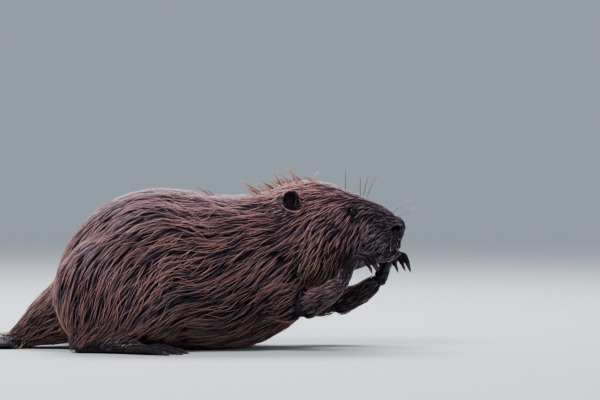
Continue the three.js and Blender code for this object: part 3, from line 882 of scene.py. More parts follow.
# %% Marks of the face: painted highlight over the nostrils, painted shade in nostrils and mouth line, dark eye rings
crease = np.clip(mouth_line + split * is_face, 0, 1)
nostril_rim_highlight = np.clip(rim * smooth_step(across_slit, 0, 4 * MM), 0, 1)
FACE_MARKS = [  # tone, and how strongly it shows at each point
    # painted highlight on the rim over each nostril
    ([0.200, 0.138, 0.135], nostril_rim_highlight * 0.8),
    # painted shade inside the nostrils
    ([0.002, 0.002, 0.002], np.clip(nostril * 1.8, 0, 1)),
    ([0.012, 0.009, 0.009], hill(from_eye, 11 * MM) * on_side),
    # painted shade in the mouth line and the split under the nose
    ([0.006, 0.004, 0.004], crease),
]
for tone, strength in FACE_MARKS:
    tones = mixed(tones, np.array(tone), strength)
print("marks on the face:", len(FACE_MARKS))

# %% [markdown]
# The finish of the skin. Under the fur lies a streaked nap, and the bare parts have fine
# leathery creases. Either could be modelled, but both are finer than the squares of the
# skin, so they are a bump: stretched noise for the nap and a net of cells for the creases.
# The share of bare skin turns one into the other, and makes the bare parts glossier.

# %% Finish of the skin
NAP_STRETCH = (120, 620, 620)  # the nap runs along the body
CREASE_SCALE, CREASE_HEIGHT = 1150, 0.13


def tinted(nodes, links, colour, value, low, high, share):
    """The colour made darker or lighter by a value between 0.3 and 0.7."""
    spread = node_with(nodes, "ShaderNodeMapRange", From_Min=0.3, From_Max=0.7, To_Min=low, To_Max=high)
    shade = nodes.new("ShaderNodeMix")
    shade.data_type = "RGBA"
    shade.blend_type = "MULTIPLY"
    shade.inputs["Factor"].default_value = share
    links.new(value, spread.inputs["Value"])
    links.new(colour, shade.inputs["A"])
    links.new(spread.outputs["Result"], shade.inputs["B"])
    return shade.outputs["Result"]


def attribute(nodes, name, output):
    node = nodes.new("ShaderNodeAttribute")
    node.attribute_name = name
    return node.outputs[output]


def skin_finish():
    """Under-fur with a streaked nap, turning into finely creased bare skin."""
    material, nodes, links, shader = new_material("beaver_skin")
    place = nodes.new("ShaderNodeTexCoord").outputs["Object"]
    stretch = node_with(nodes, "ShaderNodeMapping", Scale=NAP_STRETCH)
    links.new(place, stretch.inputs["Vector"])
    nap = node_with(nodes, "ShaderNodeTexNoise", Scale=1.0, Detail=4)
    links.new(stretch.outputs["Vector"], nap.inputs["Vector"])
    creases = node_with(nodes, "ShaderNodeTexVoronoi", Scale=CREASE_SCALE)
    creases.feature = "DISTANCE_TO_EDGE"
    links.new(place, creases.inputs["Vector"])
    flat = nodes.new("ShaderNodeMath")
    flat.operation = "MINIMUM"
    flat.inputs[1].default_value = CREASE_HEIGHT
    links.new(creases.outputs["Distance"], flat.inputs[0])
    bare_share = attribute(nodes, "bare", "Fac")
    relief = nodes.new("ShaderNodeMix")
    links.new(bare_share, relief.inputs["Factor"])
    links.new(nap.outputs["Fac"], relief.inputs["A"])
    links.new(flat.outputs["Value"], relief.inputs["B"])
    bump = node_with(nodes, "ShaderNodeBump", Distance=1.0 * MM, Strength=0.9)
    links.new(relief.outputs["Result"], bump.inputs["Height"])
    links.new(bump.outputs["Normal"], shader.inputs["Normal"])
    own_tone = attribute(nodes, "tone", "Color")
    colour = tinted(nodes, links, own_tone, nap.outputs["Fac"], 0.45, 1.35, 0.7)
    links.new(colour, shader.inputs["Base Color"])
    set_sockets(shader, Specular_IOR_Level=0.2)
    gloss = node_with(nodes, "ShaderNodeMapRange", To_Min=0.55, To_Max=0.42)
    links.new(bare_share, gloss.inputs["Value"])
    links.new(gloss.outputs["Result"], shader.inputs["Roughness"])
    return material


skin_material = skin_finish()
print("skin finish made of", len(skin_material.node_tree.nodes), "nodes")

# %% [markdown]
# The skin takes its place. Each solid could have a piece of skin of its own, but then a seam
# would show wherever a limb meets the body. So one piece stands for all the solids of
# flesh. The tones and the share of bare skin are stored on its points, where the finish
# reads them.

# %% One skin in place of the flesh
def paint(mesh, name, colours):
    layer = mesh.color_attributes.new(name, "FLOAT_COLOR", "POINT")
    rgba = np.ones((len(colours), 4), np.float32)
    rgba[:, :3] = np.clip(colours, 0, 1)
    layer.data.foreach_set("color", rgba.ravel())


def paint_share(mesh, name, values):
    mesh.attributes.new(name, "FLOAT", "POINT").data.foreach_set("value", values.astype(np.float32))


def add_piece(name, mesh, material, replaces=()):
    mesh.polygons.foreach_set("use_smooth", [True] * len(mesh.polygons))
    mesh.materials.clear()
    mesh.materials.append(material)
    piece = bpy.data.objects.new(name, mesh)
    bpy.context.scene.collection.objects.link(piece)
    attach(piece, "root")
    if replaces:
        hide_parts(*replaces)
    return piece


skin.store()
paint(skin_mesh, "tone", tones)
paint_share(skin_mesh, "bare", bare)
add_piece("skin", skin_mesh, skin_material, FLESH)
print("skin of", len(skin_mesh.vertices), "points")

# %% [markdown]
# A map of the skin. Each lock needs to know where on the skin it grows, as a place on a
# flat unwrap. Unwrapping the skin itself would be slow and give a great many small islands.
# A coarse copy has larger islands that are quick to lay out, and each root looks up its
# place on the copy.

# %% Unwrap a coarse copy of the skin
MAP_VOXEL = 7 * MM
ISLAND_GAP = 0.004


def skin_map():
    coarse = remeshed(skin_mesh.copy(), MAP_VOXEL)
    piece = bpy.data.objects.new("skin_map", coarse)
    bpy.context.scene.collection.objects.link(piece)
    bpy.context.view_layer.objects.active = piece
    piece.select_set(True)
    bpy.ops.object.mode_set(mode="EDIT")
    bpy.ops.mesh.select_all(action="SELECT")
    bpy.ops.uv.smart_project(angle_limit=math.radians(60), island_margin=ISLAND_GAP)
    bpy.ops.object.mode_set(mode="OBJECT")
    coarse.calc_loop_triangles()
    corners = np.array([t.vertices[:] for t in coarse.loop_triangles])
    loops = np.array([t.loops[:] for t in coarse.loop_triangles])
    flat = np.empty(len(coarse.loops) * 2, np.float32)
    coarse.uv_layers.active.data.foreach_get("uv", flat)
    places = coordinates(coarse)
    tree = BVHTree.FromPolygons(places.tolist(), corners.tolist())
    bpy.data.objects.remove(piece)
    return tree, places[corners], flat.reshape(-1, 2)[loops]


map_tree, map_corners, map_uvs = skin_map()
print("the map has", len(map_uvs), "triangles")

# %% Look up a place on the map
def places_on_map(points):
    """The map's place nearest to each point, weighed between the corners of its triangle."""
    found = [map_tree.find_nearest(Vector(p)) for p in points]
    face = np.array([f[2] for f in found])
    hit = np.array([f[0][:] for f in found])
    a, b, c = (map_corners[face, k] for k in range(3))
    whole = np.cross(b - a, c - a)
    size = (whole**2).sum(1)
    u = (np.cross(b - hit, c - hit) * whole).sum(1) / size
    v = (np.cross(c - hit, a - hit) * whole).sum(1) / size
    weights = np.stack([u, v, 1 - u - v], 1)[:, :, None]
    return (map_uvs[face] * weights).sum(1)


print("the right eye lies on the map at", places_on_map(eye[None])[0].round(2))

# %% [markdown]
# The lie of the coat. Hair points away from the nose: back over crown, neck and back, down
# over the rump in arcs that follow its outline, back and steeply down on the cheeks, and
# along the forearm towards the paw. It could be combed by hand with guide curves. Here a
# few rules give the direction at every point of the skin, which is then blurred over it, so
# that the streams of hair join without a parting.

# %% The lie of the coat
skin_mesh.calc_loop_triangles()
triangles = np.array([t.vertices[:] for t in skin_mesh.loop_triangles])
every_triangle = np.arange(len(triangles))
triangle_kind = kind_at[triangles[:, 0]]
skin_tree = BVHTree.FromPolygons(skin.points.tolist(), triangles.tolist())
trunk_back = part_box("trunk")[0].x
ARC_CENTRE = (trunk_back + 0.205, 0.09)  # hair on the rump runs in arcs round this point
LEAST_BACK, LEAST_FALL = 0.045, 0.012
RUMP_FALL, NECK_FALL, CHEEK_FALL = 0.62, 0.022, 0.075
OUTWARD = 0.12
LIMB_WAYS = {
    "upper_arm": (-1, 0, -0.6),
    "forearm": (0.86, 0, 0.5),
    "tail_root": (-1, 0, -0.45),
    "ear": (0, 0, 1),
}
FRINGE_WAY = (-1, 0, 0.3)
WAY_ROUNDS = 30


def unit(vectors):
    return vectors / np.maximum(np.linalg.norm(vectors, axis=1), 1e-9)[:, None]


def flattened(vectors, surface_normals):
    """Vectors laid down along the skin."""
    rise = (vectors * surface_normals).sum(1)[:, None]
    return unit(vectors - surface_normals * rise)


def streams():
    x, y, z = skin.points.T
    back = np.maximum(z - ARC_CENTRE[1], LEAST_BACK)
    down = RUMP_FALL * np.maximum(ARC_CENTRE[0] - x, 0) + LEAST_FALL
    down *= 0.35 + 0.65 * smooth_step(z, 0.01, 0.06)
    down += NECK_FALL * smooth_step(x, 0.12, 0.20)
    cheek_here = smooth_step(x, 0.20, 0.27) * (1 - smooth_step(x, nose_low.x - 40 * MM, nose_low.x))
    down += cheek_here * CHEEK_FALL * (1 - smooth_step(z, eye[2] - 16 * MM, eye[2] + 40 * MM))
    way = np.stack([-back, OUTWARD * y, -down], 1)
    for limb, direction in LIMB_WAYS.items():
        way[kind_at == limb] = direction
    way[ear_front > 0.3] = FRINGE_WAY
    way = skin.blurred(flattened(way, skin_normals), WAY_ROUNDS)
    return flattened(way, skin_normals)


skin_normals = unit(skin.blurred(skin.normals(), 2))
skin_ways = streams()
print("streams worked out at", len(skin_ways), "points")

# %% [markdown]
# Swirls. No coat lies perfectly straight: its lie drifts from place to place, and in the
# middle of the flank the wet hair is ruffled. Turning each hair at random would only look
# untidy. A smooth drift turns neighbours together, so they swirl as real locks do.

# %% Swirls in the lie
FLANK = (middle("neck").x - 0.12, 0.190)  # the middle of the ruffled patch: along and up
RUFFLE_LENGTH, RUFFLE_HEIGHT = 0.060, 0.045
SMALL_SWIRL, LARGE_SWIRL = 0.055, 0.16  # their size in m
SMALL_TURN, LARGE_TURN, RUFFLE_TURN = 0.08, 0.10, 0.46  # how far they turn the hair


def turned(vectors, surface_normals, angles):
    side = np.cross(surface_normals, vectors)
    return vectors * np.cos(angles)[:, None] + side * np.sin(angles)[:, None]


def ruffled(points):
    """1 in the middle of the flank, where the coat is ruffled, and 0 elsewhere."""
    along = (points[:, 0] - FLANK[0]) / RUFFLE_LENGTH
    above = (points[:, 2] - FLANK[1]) / RUFFLE_HEIGHT
    return np.exp(-(along**2) - above**2)


def lie_of_coat(points, faces, surface_normals):
    way = flattened(skin_ways[triangles[faces]].sum(1), surface_normals)
    angle = wander(points, SMALL_SWIRL, 11) * (SMALL_TURN + RUFFLE_TURN * ruffled(points))
    angle += wander(points, LARGE_SWIRL, 12) * LARGE_TURN
    return turned(way, surface_normals, angle)


ruffled_share = float((ruffled(skin.points) > 0.5).mean())
print("strongly ruffled:", round(100 * ruffled_share), "% of the points")

# %% Following the streams
STIFFNESS = 0.45  # how much a hair keeps to its own way at each step
SWING_KEPT = 0.4  # how much of its first swing goes on


def settle(points):
    """The nearest place on the skin, and the triangle there."""
    found = [skin_tree.find_nearest(Vector(p)) for p in points]
    return np.array([f[0][:] for f in found]), np.array([f[2] for f in found])


def smooth_normal(faces):
    return unit(skin_normals[triangles[faces]].sum(1))


def lines(roots, faces, lengths, steps, swing):
    """Follows the lie of the coat from each root: places, normals and ways at each step."""
    places, here = roots.copy(), faces.copy()
    normal = smooth_normal(here)
    way = turned(lie_of_coat(places, here, normal), normal, swing)
    all_places, all_normals, all_ways = [places], [normal], [way]
    for _ in range(steps):
        places, here = settle(places + way * (lengths / steps)[:, None])
        normal = smooth_normal(here)
        flow = turned(lie_of_coat(places, here, normal), normal, swing * SWING_KEPT)
        way = flattened(way * STIFFNESS + flow * (1 - STIFFNESS), normal)
        all_places.append(places)
        all_normals.append(normal)
        all_ways.append(way)
    return (np.stack(v, 1) for v in (all_places, all_normals, all_ways))


top_of_back, top_face = settle(np.array([[0.0, 0.0, 0.3]]))
trial = next(lines(top_of_back, top_face, np.array([50 * MM]), 5, np.zeros(1)))[0]
print("a hair on the back runs from", trial[0].round(3), "to", trial[-1].round(3))

# %% [markdown]
# Roots. Hair grows all over the skin, but short fine hair stands closer together than long
# coarse hair. Points drawn wholly at random would leave bald spots. So the skin's area is
# laid out as one long line, weighed by how crowded the hair is, and cut into equal lengths
# with one root in each.

# %% Roots spread over the skin
corner_a, corner_b, corner_c = (skin.points[triangles[:, k]] for k in range(3))
triangle_areas = np.linalg.norm(np.cross(corner_b - corner_a, corner_c - corner_a), axis=1) / 2


def scatter(count, weights, draw):
    """Roots spread evenly over the skin, closer together where the weight is higher."""
    total = np.cumsum(triangle_areas * weights)
    picks = (np.arange(count) + draw.random(count)) / count * total[-1]
    faces = np.searchsorted(total, picks).clip(0, len(triangles) - 1)
    u, v = draw.random((2, count))
    over = u + v > 1
    u[over], v[over] = 1 - u[over], 1 - v[over]
    corners = skin.points[triangles[faces]]
    places = corners[:, 0] + (corners[:, 1] - corners[:, 0]) * u[:, None]
    return places + (corners[:, 2] - corners[:, 0]) * v[:, None], faces


def at_faces(values, faces):
    return values[triangles[faces]].mean(1)


print("the skin measures", round(float(triangle_areas.sum()), 3), "square metres")

# %% [markdown]
# Strands. Hair particles would look right in one render and be lost in the exported model,
# and flat ribbons vanish edge on. So each strand is real mesh: a long thin spindle with
# three sides, thick in the middle and pointed at both ends. All of a layer's strands are
# worked out together as arrays. A strand is darker towards its root, where little light
# gets in between the locks.

# %% Spindles
PATCH = 0.003  # how much room a strand has on the map
BELLY_OF_STRAND = 0.75  # below 1, a strand is thickest nearer to its tip
SHADE_PLACES, SHADE = [0, 0.3, 0.75, 1], [0.25, 0.75, 1.1, 1.25]  # from root to tip


def mesh_from(name, points, index, uv, tone):
    mesh = bpy.data.meshes.new(name)
    mesh.vertices.add(len(points))
    mesh.vertices.foreach_set("co", points.astype(np.float32).ravel())
    mesh.loops.add(index.size)
    mesh.loops.foreach_set("vertex_index", index.astype(np.int32).ravel())
    mesh.polygons.add(len(index))
    mesh.polygons.foreach_set("loop_start", np.arange(0, index.size, 3, dtype=np.int32))
    mesh.update(calc_edges=True)
    layer = mesh.uv_layers.new(name="OFBake")
    layer.data.foreach_set("uv", uv[index.ravel()].astype(np.float32).ravel())
    paint(mesh, "tone", tone)
    return mesh


def many_of(count, faces, size):
    """The faces of one form, repeated for many forms whose points follow each other."""
    return (np.array(faces)[None] + (np.arange(count) * size)[:, None, None]).reshape(-1, 3)


def spindle_faces(rings):
    """Triangles between two end points and rings of three points."""
    faces = [(0, 1 + (k + 1) % 3, 1 + k) for k in range(3)]
    for r in range(rings - 1):
        for k in range(3):
            a, b = 1 + 3 * r + k, 1 + 3 * r + (k + 1) % 3
            faces += [(a, b, b + 3), (a, b + 3, a + 3)]
    last = 1 + 3 * (rings - 1)
    return faces + [(last + k, last + (k + 1) % 3, last + 3) for k in range(3)]


def spindles(name, spine, side, up, width, thickness, colours, on_map):
    """One mesh of closed three-sided spindles, one for each row of spine points."""
    count, rings = spine.shape[0], spine.shape[1] - 2
    inner = spine[:, 1:-1]
    share = np.linspace(0, 1, spine.shape[1])[1:-1]
    swell = (np.sin(np.pi * share**BELLY_OF_STRAND) ** 0.6)[None, :, None]
    half = side[:, 1:-1] * (width[:, None, None] * swell / 2)
    rise = up[:, 1:-1] * (thickness[:, None, None] * swell)
    ring = np.stack([inner + half - rise * 0.3, inner + rise * 0.7, inner - half - rise * 0.3], 2)
    points = np.concatenate([spine[:, :1], ring.reshape(count, rings * 3, 3), spine[:, -1:]], 1)
    along = np.concatenate([[0], np.repeat(share, 3), [1]])
    over = np.concatenate([[0.5], np.tile([0, 0.5, 1], rings), [0.5]])
    uv = on_map[:, None] + (np.stack([over, along], 1) - 0.5)[None] * PATCH
    tone = colours[:, None] * np.interp(along, SHADE_PLACES, SHADE)[None, :, None]
    index = many_of(count, spindle_faces(rings), rings * 3 + 2)
    return mesh_from(name, points.reshape(-1, 3), index, uv.reshape(-1, 2), tone.reshape(-1, 3))


print("a strand of the guard locks has", len(spindle_faces(4)), "triangles")

# %% [markdown]
# The finish of the hair. Wet hair is dark and shiny. A hair shader would bend the light as
# real hair does, but it is made for curves and doesn't survive in the exported model. So
# the base colour is the strand's own, with fine grain, and a thin clear coat lies over it
# like a film of water. The same grain serves for claws and scales further down.

# %% Finish of the coat
HAIR_GRAIN, HAIR_TINT, HAIR_BUMP = 900, (0.7, 1.25), (0.25 * MM, 0.6)
FILM_ROUGHNESS = 0.20


def grained_finish(name, scale, detail, tint, bump=None, **surface):
    """The piece's own tone with fine grain in it, and the grain as relief where asked."""
    material, nodes, links, shader = new_material(name)
    place = nodes.new("ShaderNodeTexCoord").outputs["Object"]
    grain = node_with(nodes, "ShaderNodeTexNoise", Scale=scale, Detail=detail)
    links.new(place, grain.inputs["Vector"])
    own_tone = attribute(nodes, "tone", "Color")
    colour = tinted(nodes, links, own_tone, grain.outputs["Fac"], *tint, 1.0)
    links.new(colour, shader.inputs["Base Color"])
    if bump:
        relief = node_with(nodes, "ShaderNodeBump", Distance=bump[0], Strength=bump[1])
        links.new(grain.outputs["Fac"], relief.inputs["Height"])
        links.new(relief.outputs["Normal"], shader.inputs["Normal"])
    set_sockets(shader, **surface)
    return material


def coat_finish(name, roughness, specular, water):
    """Hair with fine grain, and a film of water over it."""
    film = {"Coat_Weight": water, "Coat_Roughness": FILM_ROUGHNESS}
    gloss = {"Roughness": roughness, "Specular_IOR_Level": specular}
    return grained_finish(name, HAIR_GRAIN, 3, HAIR_TINT, HAIR_BUMP, **gloss, **film)


fur = coat_finish("wet_fur", 0.36, 0.5, 0.50)
under_fur = coat_finish("under_fur", 0.60, 0.2, 0)
ear_velvet = coat_finish("ear_velvet", 0.75, 0.2, 0)
print("coat finishes:", [finish.name for finish in (fur, under_fur, ear_velvet)])

# %% [markdown]
# Eyes. A beaver's eye is small, round and almost black, set behind tight dark lids. A plain
# sphere would do from afar, but close by the cornea stands out a little and catches the
# light of the room. So the ball is a globe of rings round the line of sight, with a raised
# cornea, and its pupil, iris and dark white are tones on the points.

# %% Eyeballs
EYE_RADIUS = 6.3 * MM
EYE_SINK = 0.9 * MM
EYE_SLANT = -0.16  # the corners of the eye lie on a line that drops forward
EYE_SURROUND = 15 * MM  # the skin as far round as this says which way the eye looks
CORNEA_RISE, CORNEA_EDGE = 0.45 * MM, 0.9
PUPIL_EDGE, IRIS_EDGE = 0.42, 1.0
PUPIL_TONE = np.array([0.0008, 0.0008, 0.001])
IRIS_TONE = np.array([0.006, 0.006, 0.014])
WHITE_TONE = np.array([0.008, 0.008, 0.016])


def eye_axes(side):
    """The middle of an eye and three directions there: out of the head, forward and up."""
    near = np.linalg.norm(skin.points - eyes[side], axis=1) < EYE_SURROUND
    out = unit((unit(skin_normals[near].mean(0)[None]) + [[0, SIDES[side], 0]]))
    forward = flattened(np.array([[1, 0, EYE_SLANT]]), out)
    return eyes[side] - out[0] * EYE_SINK, out[0], forward[0], np.cross(out, forward)[0] * -SIDES[side]


def grid_faces(rows, columns):
    """Two triangles for each square of a closed strip of rows of points."""
    faces = []
    for r in range(rows - 1):
        for k in range(columns):
            a, b = r * columns + k, r * columns + (k + 1) % columns
            faces += [(a, b, b + columns), (a, b + columns, a + columns)]
    return faces


def eyeball(side, rows=26, columns=40):
    centre, out, forward, up = eye_axes(side)
    tilt = np.repeat(np.linspace(0.01, math.pi - 0.01, rows), columns)
    turn = np.tile(np.arange(columns) * 2 * math.pi / columns, rows)
    radius = EYE_RADIUS + CORNEA_RISE * hill(tilt, CORNEA_EDGE)
    flat = np.sin(tilt)[:, None] * (np.outer(np.cos(turn), forward) + np.outer(np.sin(turn), up))
    points = centre + radius[:, None] * (np.outer(np.cos(tilt), out) + flat)
    iris = smooth_step(tilt, PUPIL_EDGE - 0.05, PUPIL_EDGE + 0.08)
    streaks = 0.8 + 0.35 * np.sin(turn * 20) * np.sin(tilt * 9)
    tone = mixed(PUPIL_TONE, IRIS_TONE * streaks[:, None], iris)
    tone = mixed(tone, WHITE_TONE, smooth_step(tilt, IRIS_EDGE, IRIS_EDGE + 0.15))
    index = np.array(grid_faces(rows, columns))
    if SIDES[side] < 0:  # mirrored, so the faces are turned to look outward
        index = index[:, ::-1]
    return mesh_from("eyeball", points, index, np.zeros((len(points), 2)), tone)


def eye_finish():
    material, nodes, links, shader = new_material("eye_gloss")
    links.new(attribute(nodes, "tone", "Color"), shader.inputs["Base Color"])
    set_sockets(shader, Roughness=0.04, Specular_IOR_Level=0.28, Coat_Weight=0.15, Coat_Roughness=0.02)
    return material


gloss_of_eye = eye_finish()
for side in SIDES:
    add_piece("eyeball_" + side, eyeball(side), gloss_of_eye, ["eye_" + side])
print("eyeballs", round(2 * EYE_RADIUS / MM, 1), "mm across")

# %% [markdown]
# Eyelids. They are tight dark rolls of bare skin round the ball. Pulled up from the skin of
# the head they would need far smaller squares than it has. So both lids are one separate
# ring of skin that hugs the ball at its inner edge, swells into a soft roll and a fold, and
# sinks under the fur at its outer edge.

# %% Eyelids
LID_WIDTH, LID_TOP, LID_BOTTOM = 5.3 * MM, 3.9 * MM, 3.4 * MM
LID_GAP = 0.3 * MM  # the least height of a lid over the ball
LID_LIFT = 0.5 * MM  # how much higher the fold of the upper lid is
OUTSIDE = 30  # mm from the eye, clear of the head
LID_EDGE_TONE = np.array([0.012, 0.009, 0.010])
LID_TONE = np.array([0.060, 0.042, 0.043])
# how far out each ring lies, as a share of the opening, and its height over ball or skin in mm
LID_RINGS = [(1.0, -0.4), (1.01, 0.3), (1.1, 0.8), (1.25, 0.95), (1.4, 0.55), (1.52, 0.85)]
LID_RINGS += [(1.7, 0.7), (2.0, -0.2), (2.4, -2.0)]


def skin_height(point, out):
    """How far the skin lies outward of a point near the eye."""
    start = Vector(point + out * OUTSIDE * MM)
    hit = skin_tree.ray_cast(start, Vector(-out))
    return OUTSIDE * MM - hit[3] if hit[0] is not None else 0


def eyelids(side, columns=48):
    centre, out, forward, up = eye_axes(side)
    points = []
    for scale, height in LID_RINGS:
        for k in range(columns):
            turn = k * 2 * math.pi / columns
            rise = math.sin(turn)
            a = LID_WIDTH * scale * math.cos(turn)
            b = (LID_TOP if rise > 0 else LID_BOTTOM) * scale * rise * abs(rise) ** 0.2
            flat = centre + forward * a + up * b
            ball = math.sqrt(max(EYE_RADIUS**2 - a * a - b * b, 0))
            share = float(smooth_step(scale, 1.15, 1.7))
            level = ball * (1 - share) + skin_height(flat, out) * share
            upper_fold = LID_LIFT * max(rise, 0) * float(hill(scale - 1.5, 0.3))
            level += height * MM + upper_fold
            if scale > 1 and ball > 0:
                level = max(level, ball + LID_GAP)
            points.append(flat + out * level)
    index = np.array(grid_faces(len(LID_RINGS), columns))
    if SIDES[side] > 0:
        index = index[:, ::-1]
    rings = np.repeat([scale for scale, _ in LID_RINGS], columns)
    tone = mixed(LID_EDGE_TONE, LID_TONE, smooth_step(rings, 1.05, 1.6))
    mesh = mesh_from("eyelids", np.array(points), index, np.zeros((len(points), 2)), tone)
    paint_share(mesh, "bare", 1 - smooth_step(rings, 1.3, 2.0))
    return mesh


for side in SIDES:
    add_piece("eyelids_" + side, eyelids(side), skin_material)
print("eyelids open", round(2 * LID_WIDTH / MM, 1), "mm wide")

# %% [markdown]
# The ground layer. Under the long locks lies a dense, finer layer that hides the skin. It
# could be a rough texture on the skin, but at the outline and wherever the locks part it
# has to be hair. Its strands keep their shares of length and width everywhere, so
# short-haired places get many small ones and the flanks get fewer large ones.

# %% Where hair grows
SHORTEST = 3.0 * MM  # where locks would be shorter, the skin is bare
SMALLEST_STRAND = 7e-6  # length times width, in square metres

root_is_cuff = short_fur[triangles[:, 0]]
hairy = (at_faces(lock_length, every_triangle) > SHORTEST).astype(float)
hairy *= triangle_kind != "tail"
hairy *= ~np.isin(triangle_kind, ["hind_foot", "forepaw"]) | root_is_cuff
hairy *= at_faces(nostril, every_triangle) < 0.05
hairy *= ~inside_arm[triangles[:, 0]]
hairy *= at_faces(crease, every_triangle) < 0.35
typical = at_faces(lock_length * strand_width, every_triangle)
crowd = hairy / np.maximum(typical, SMALLEST_STRAND)
hairy_area = float((triangle_areas * hairy).sum())
print("hair grows on", round(hairy_area, 3), "square metres of the skin")

# %% Ground layer of the coat
draw = np.random.default_rng(41)
GROUND_STRANDS = 30000
GROUND_LENGTH = (0.4, 0.75)  # the range of lengths, against the locks above
GROUND_TOP = (0.35, 0.78)  # how high the tips lie, against the depth of the coat
GROUND_WIDTH, GROUND_SWING = (0.6, 0.95), 0.12
ROOT_DEPTH = 0.5 * MM


def ground_layer():
    roots, faces = scatter(GROUND_STRANDS, crowd, draw)
    cover = at_faces(depth, faces)
    length = at_faces(lock_length, faces) * draw.uniform(*GROUND_LENGTH, len(roots))
    swing = draw.normal(0, GROUND_SWING, len(roots))
    places, normal, way = lines(roots, faces, length, 4, swing)
    share = np.linspace(0, 1, 5)
    top = draw.uniform(*GROUND_TOP, len(roots))
    height = cover[:, None] * (top[:, None] * np.sin(np.pi / 2 * share**0.7)[None])
    height[:, 0] = -ROOT_DEPTH
    spine = places + normal * height[:, :, None]
    width = at_faces(strand_width, faces) * draw.uniform(*GROUND_WIDTH, len(roots))
    warmth = 0.12 + 0.12 * wander(roots, 0.04, 21) + draw.normal(0, 0.14, len(roots))
    colours = coat_tone(roots, normal[:, 0], warmth) * draw.uniform(0.4, 0.95, len(roots))[:, None]
    return roots, faces, spine, np.cross(normal, way), normal, width, width * 0.5, colours


ground = ground_layer()
print("ground strands are", round(float(ground[5].mean()) / MM, 2), "mm wide on average")

# %% [markdown]
# The guard locks. Wet guard hair gathers into pointed locks, a few millimetres wide and
# as long as a finger. Modelled hair by hair, they would take millions of strands. So a lock
# is a bundle of three strands that start side by side and run together towards one tip. The
# middle one rides higher and is painted paler, as a highlight on the crest of the lock, and
# the outer two are painted darker as shade.

# %% Guard locks
LOCKS = 11300
LOCK_PARTS = (-1, 0, 1)
LOCK_LENGTH, LOCK_SWING, LOCK_WIDTH = (0.7, 1.3), 0.17, (0.65, 0.95)
BRIGHT_SHARE = 0.32  # how many locks are rusty and ride on top of the dark ones
BRIGHT_WARMTH, DARK_WARMTH = (0.75, 1.1), (0.08, 0.50)
BRIGHT_COVER, DARK_COVER = 1.04, 0.92  # how high they lie, against the depth of the coat
LIFTED_SHARE, LIFT = 0.07, 1.35  # how many locks lift their tips, and how far
LOCK_RISE = [0, 0.74, 0.98, 0.92]  # height at the root, at a fifth, half way and at the tip


def guard_locks():
    roots, faces = scatter(LOCKS, crowd, draw)
    count = len(roots)
    cover, width = at_faces(depth, faces), at_faces(strand_width, faces)
    length = at_faces(lock_length, faces) * draw.uniform(*LOCK_LENGTH, count)
    places, normal, way = lines(roots, faces, length, 5, draw.normal(0, LOCK_SWING, count))
    side = np.cross(normal, way)
    share = np.linspace(0, 1, 6)[None]
    bright = draw.random(count) < BRIGHT_SHARE
    warmth = np.where(bright, draw.uniform(*BRIGHT_WARMTH, count), draw.uniform(*DARK_WARMTH, count))
    warmth += 0.16 * wander(roots, 0.05, 31)
    wave = np.sin(share * 5 + draw.uniform(0, 6.3, count)[:, None]) * width[:, None] * 0.35
    lift = np.where(draw.random(count) < LIFTED_SHARE, LIFT, 1.0)
    cover = cover * np.where(bright, BRIGHT_COVER, DARK_COVER)
    strands = []
    for part in LOCK_PARTS:
        offset = part + draw.normal(0, 0.15, count)
        shift = (offset * width * 0.85)[:, None] * ((1 - share) ** 0.8 + 0.06) + wave
        rise = np.interp(share, [0, 0.2, 0.5, 1], LOCK_RISE) * (1 - 0.16 * abs(part))
        own_rise = draw.uniform(0.86, 1.03, count)[:, None] + (lift - 1)[:, None] * share
        height = cover[:, None] * rise * own_rise
        height[:, 0] = -ROOT_DEPTH
        spine = places + side * shift[:, :, None] + normal * height[:, :, None]
        own_width = width * draw.uniform(*LOCK_WIDTH, count) * (0.82 + 0.22 * abs(part))
        thickness = own_width * (0.85 - 0.25 * abs(part))
        # Painted highlight and shade: the middle strand keeps the lock's warm tone, the outer ones are
        # darker.
        own_warmth = warmth - np.where(bright, 0.42, 0.10) * abs(part) + draw.normal(0, 0.06, count)
        tone = coat_tone(roots, normal[:, 0], own_warmth)
        strands.append((roots, faces, spine, side, normal, own_width, thickness, tone))
    return [np.concatenate(values) for values in zip(*strands)]


guard = guard_locks()
print("guard locks:", LOCKS, "of", len(LOCK_PARTS), "strands each")

# %% [markdown]
# Loose hairs. Single guard hairs leave their locks and cross the others at a slant, a
# little higher than the rest. More swing in the locks themselves would tangle them. A thin
# layer of single rusty hairs breaks the order of the locks beneath, and without it a coat
# looks combed. Where the flank is ruffled they are more, shorter and wilder.

# %% Loose hairs
LOOSE_HAIRS = 4000
LOOSE_WIDTH = (0.6, 1.05)  # mm
LOOSE_LENGTH, LOOSE_WARMTH = (0.5, 1.1), (0.55, 1.15)
LOOSE_SWING = 0.34
MORE_RUFFLED, SWING_RUFFLED, LESS_RUFFLED = 1.6, 1.2, 0.3  # more hairs, more swing, less length
LOOSE_RISE = [0, 0.9, 1.1, 1.12]


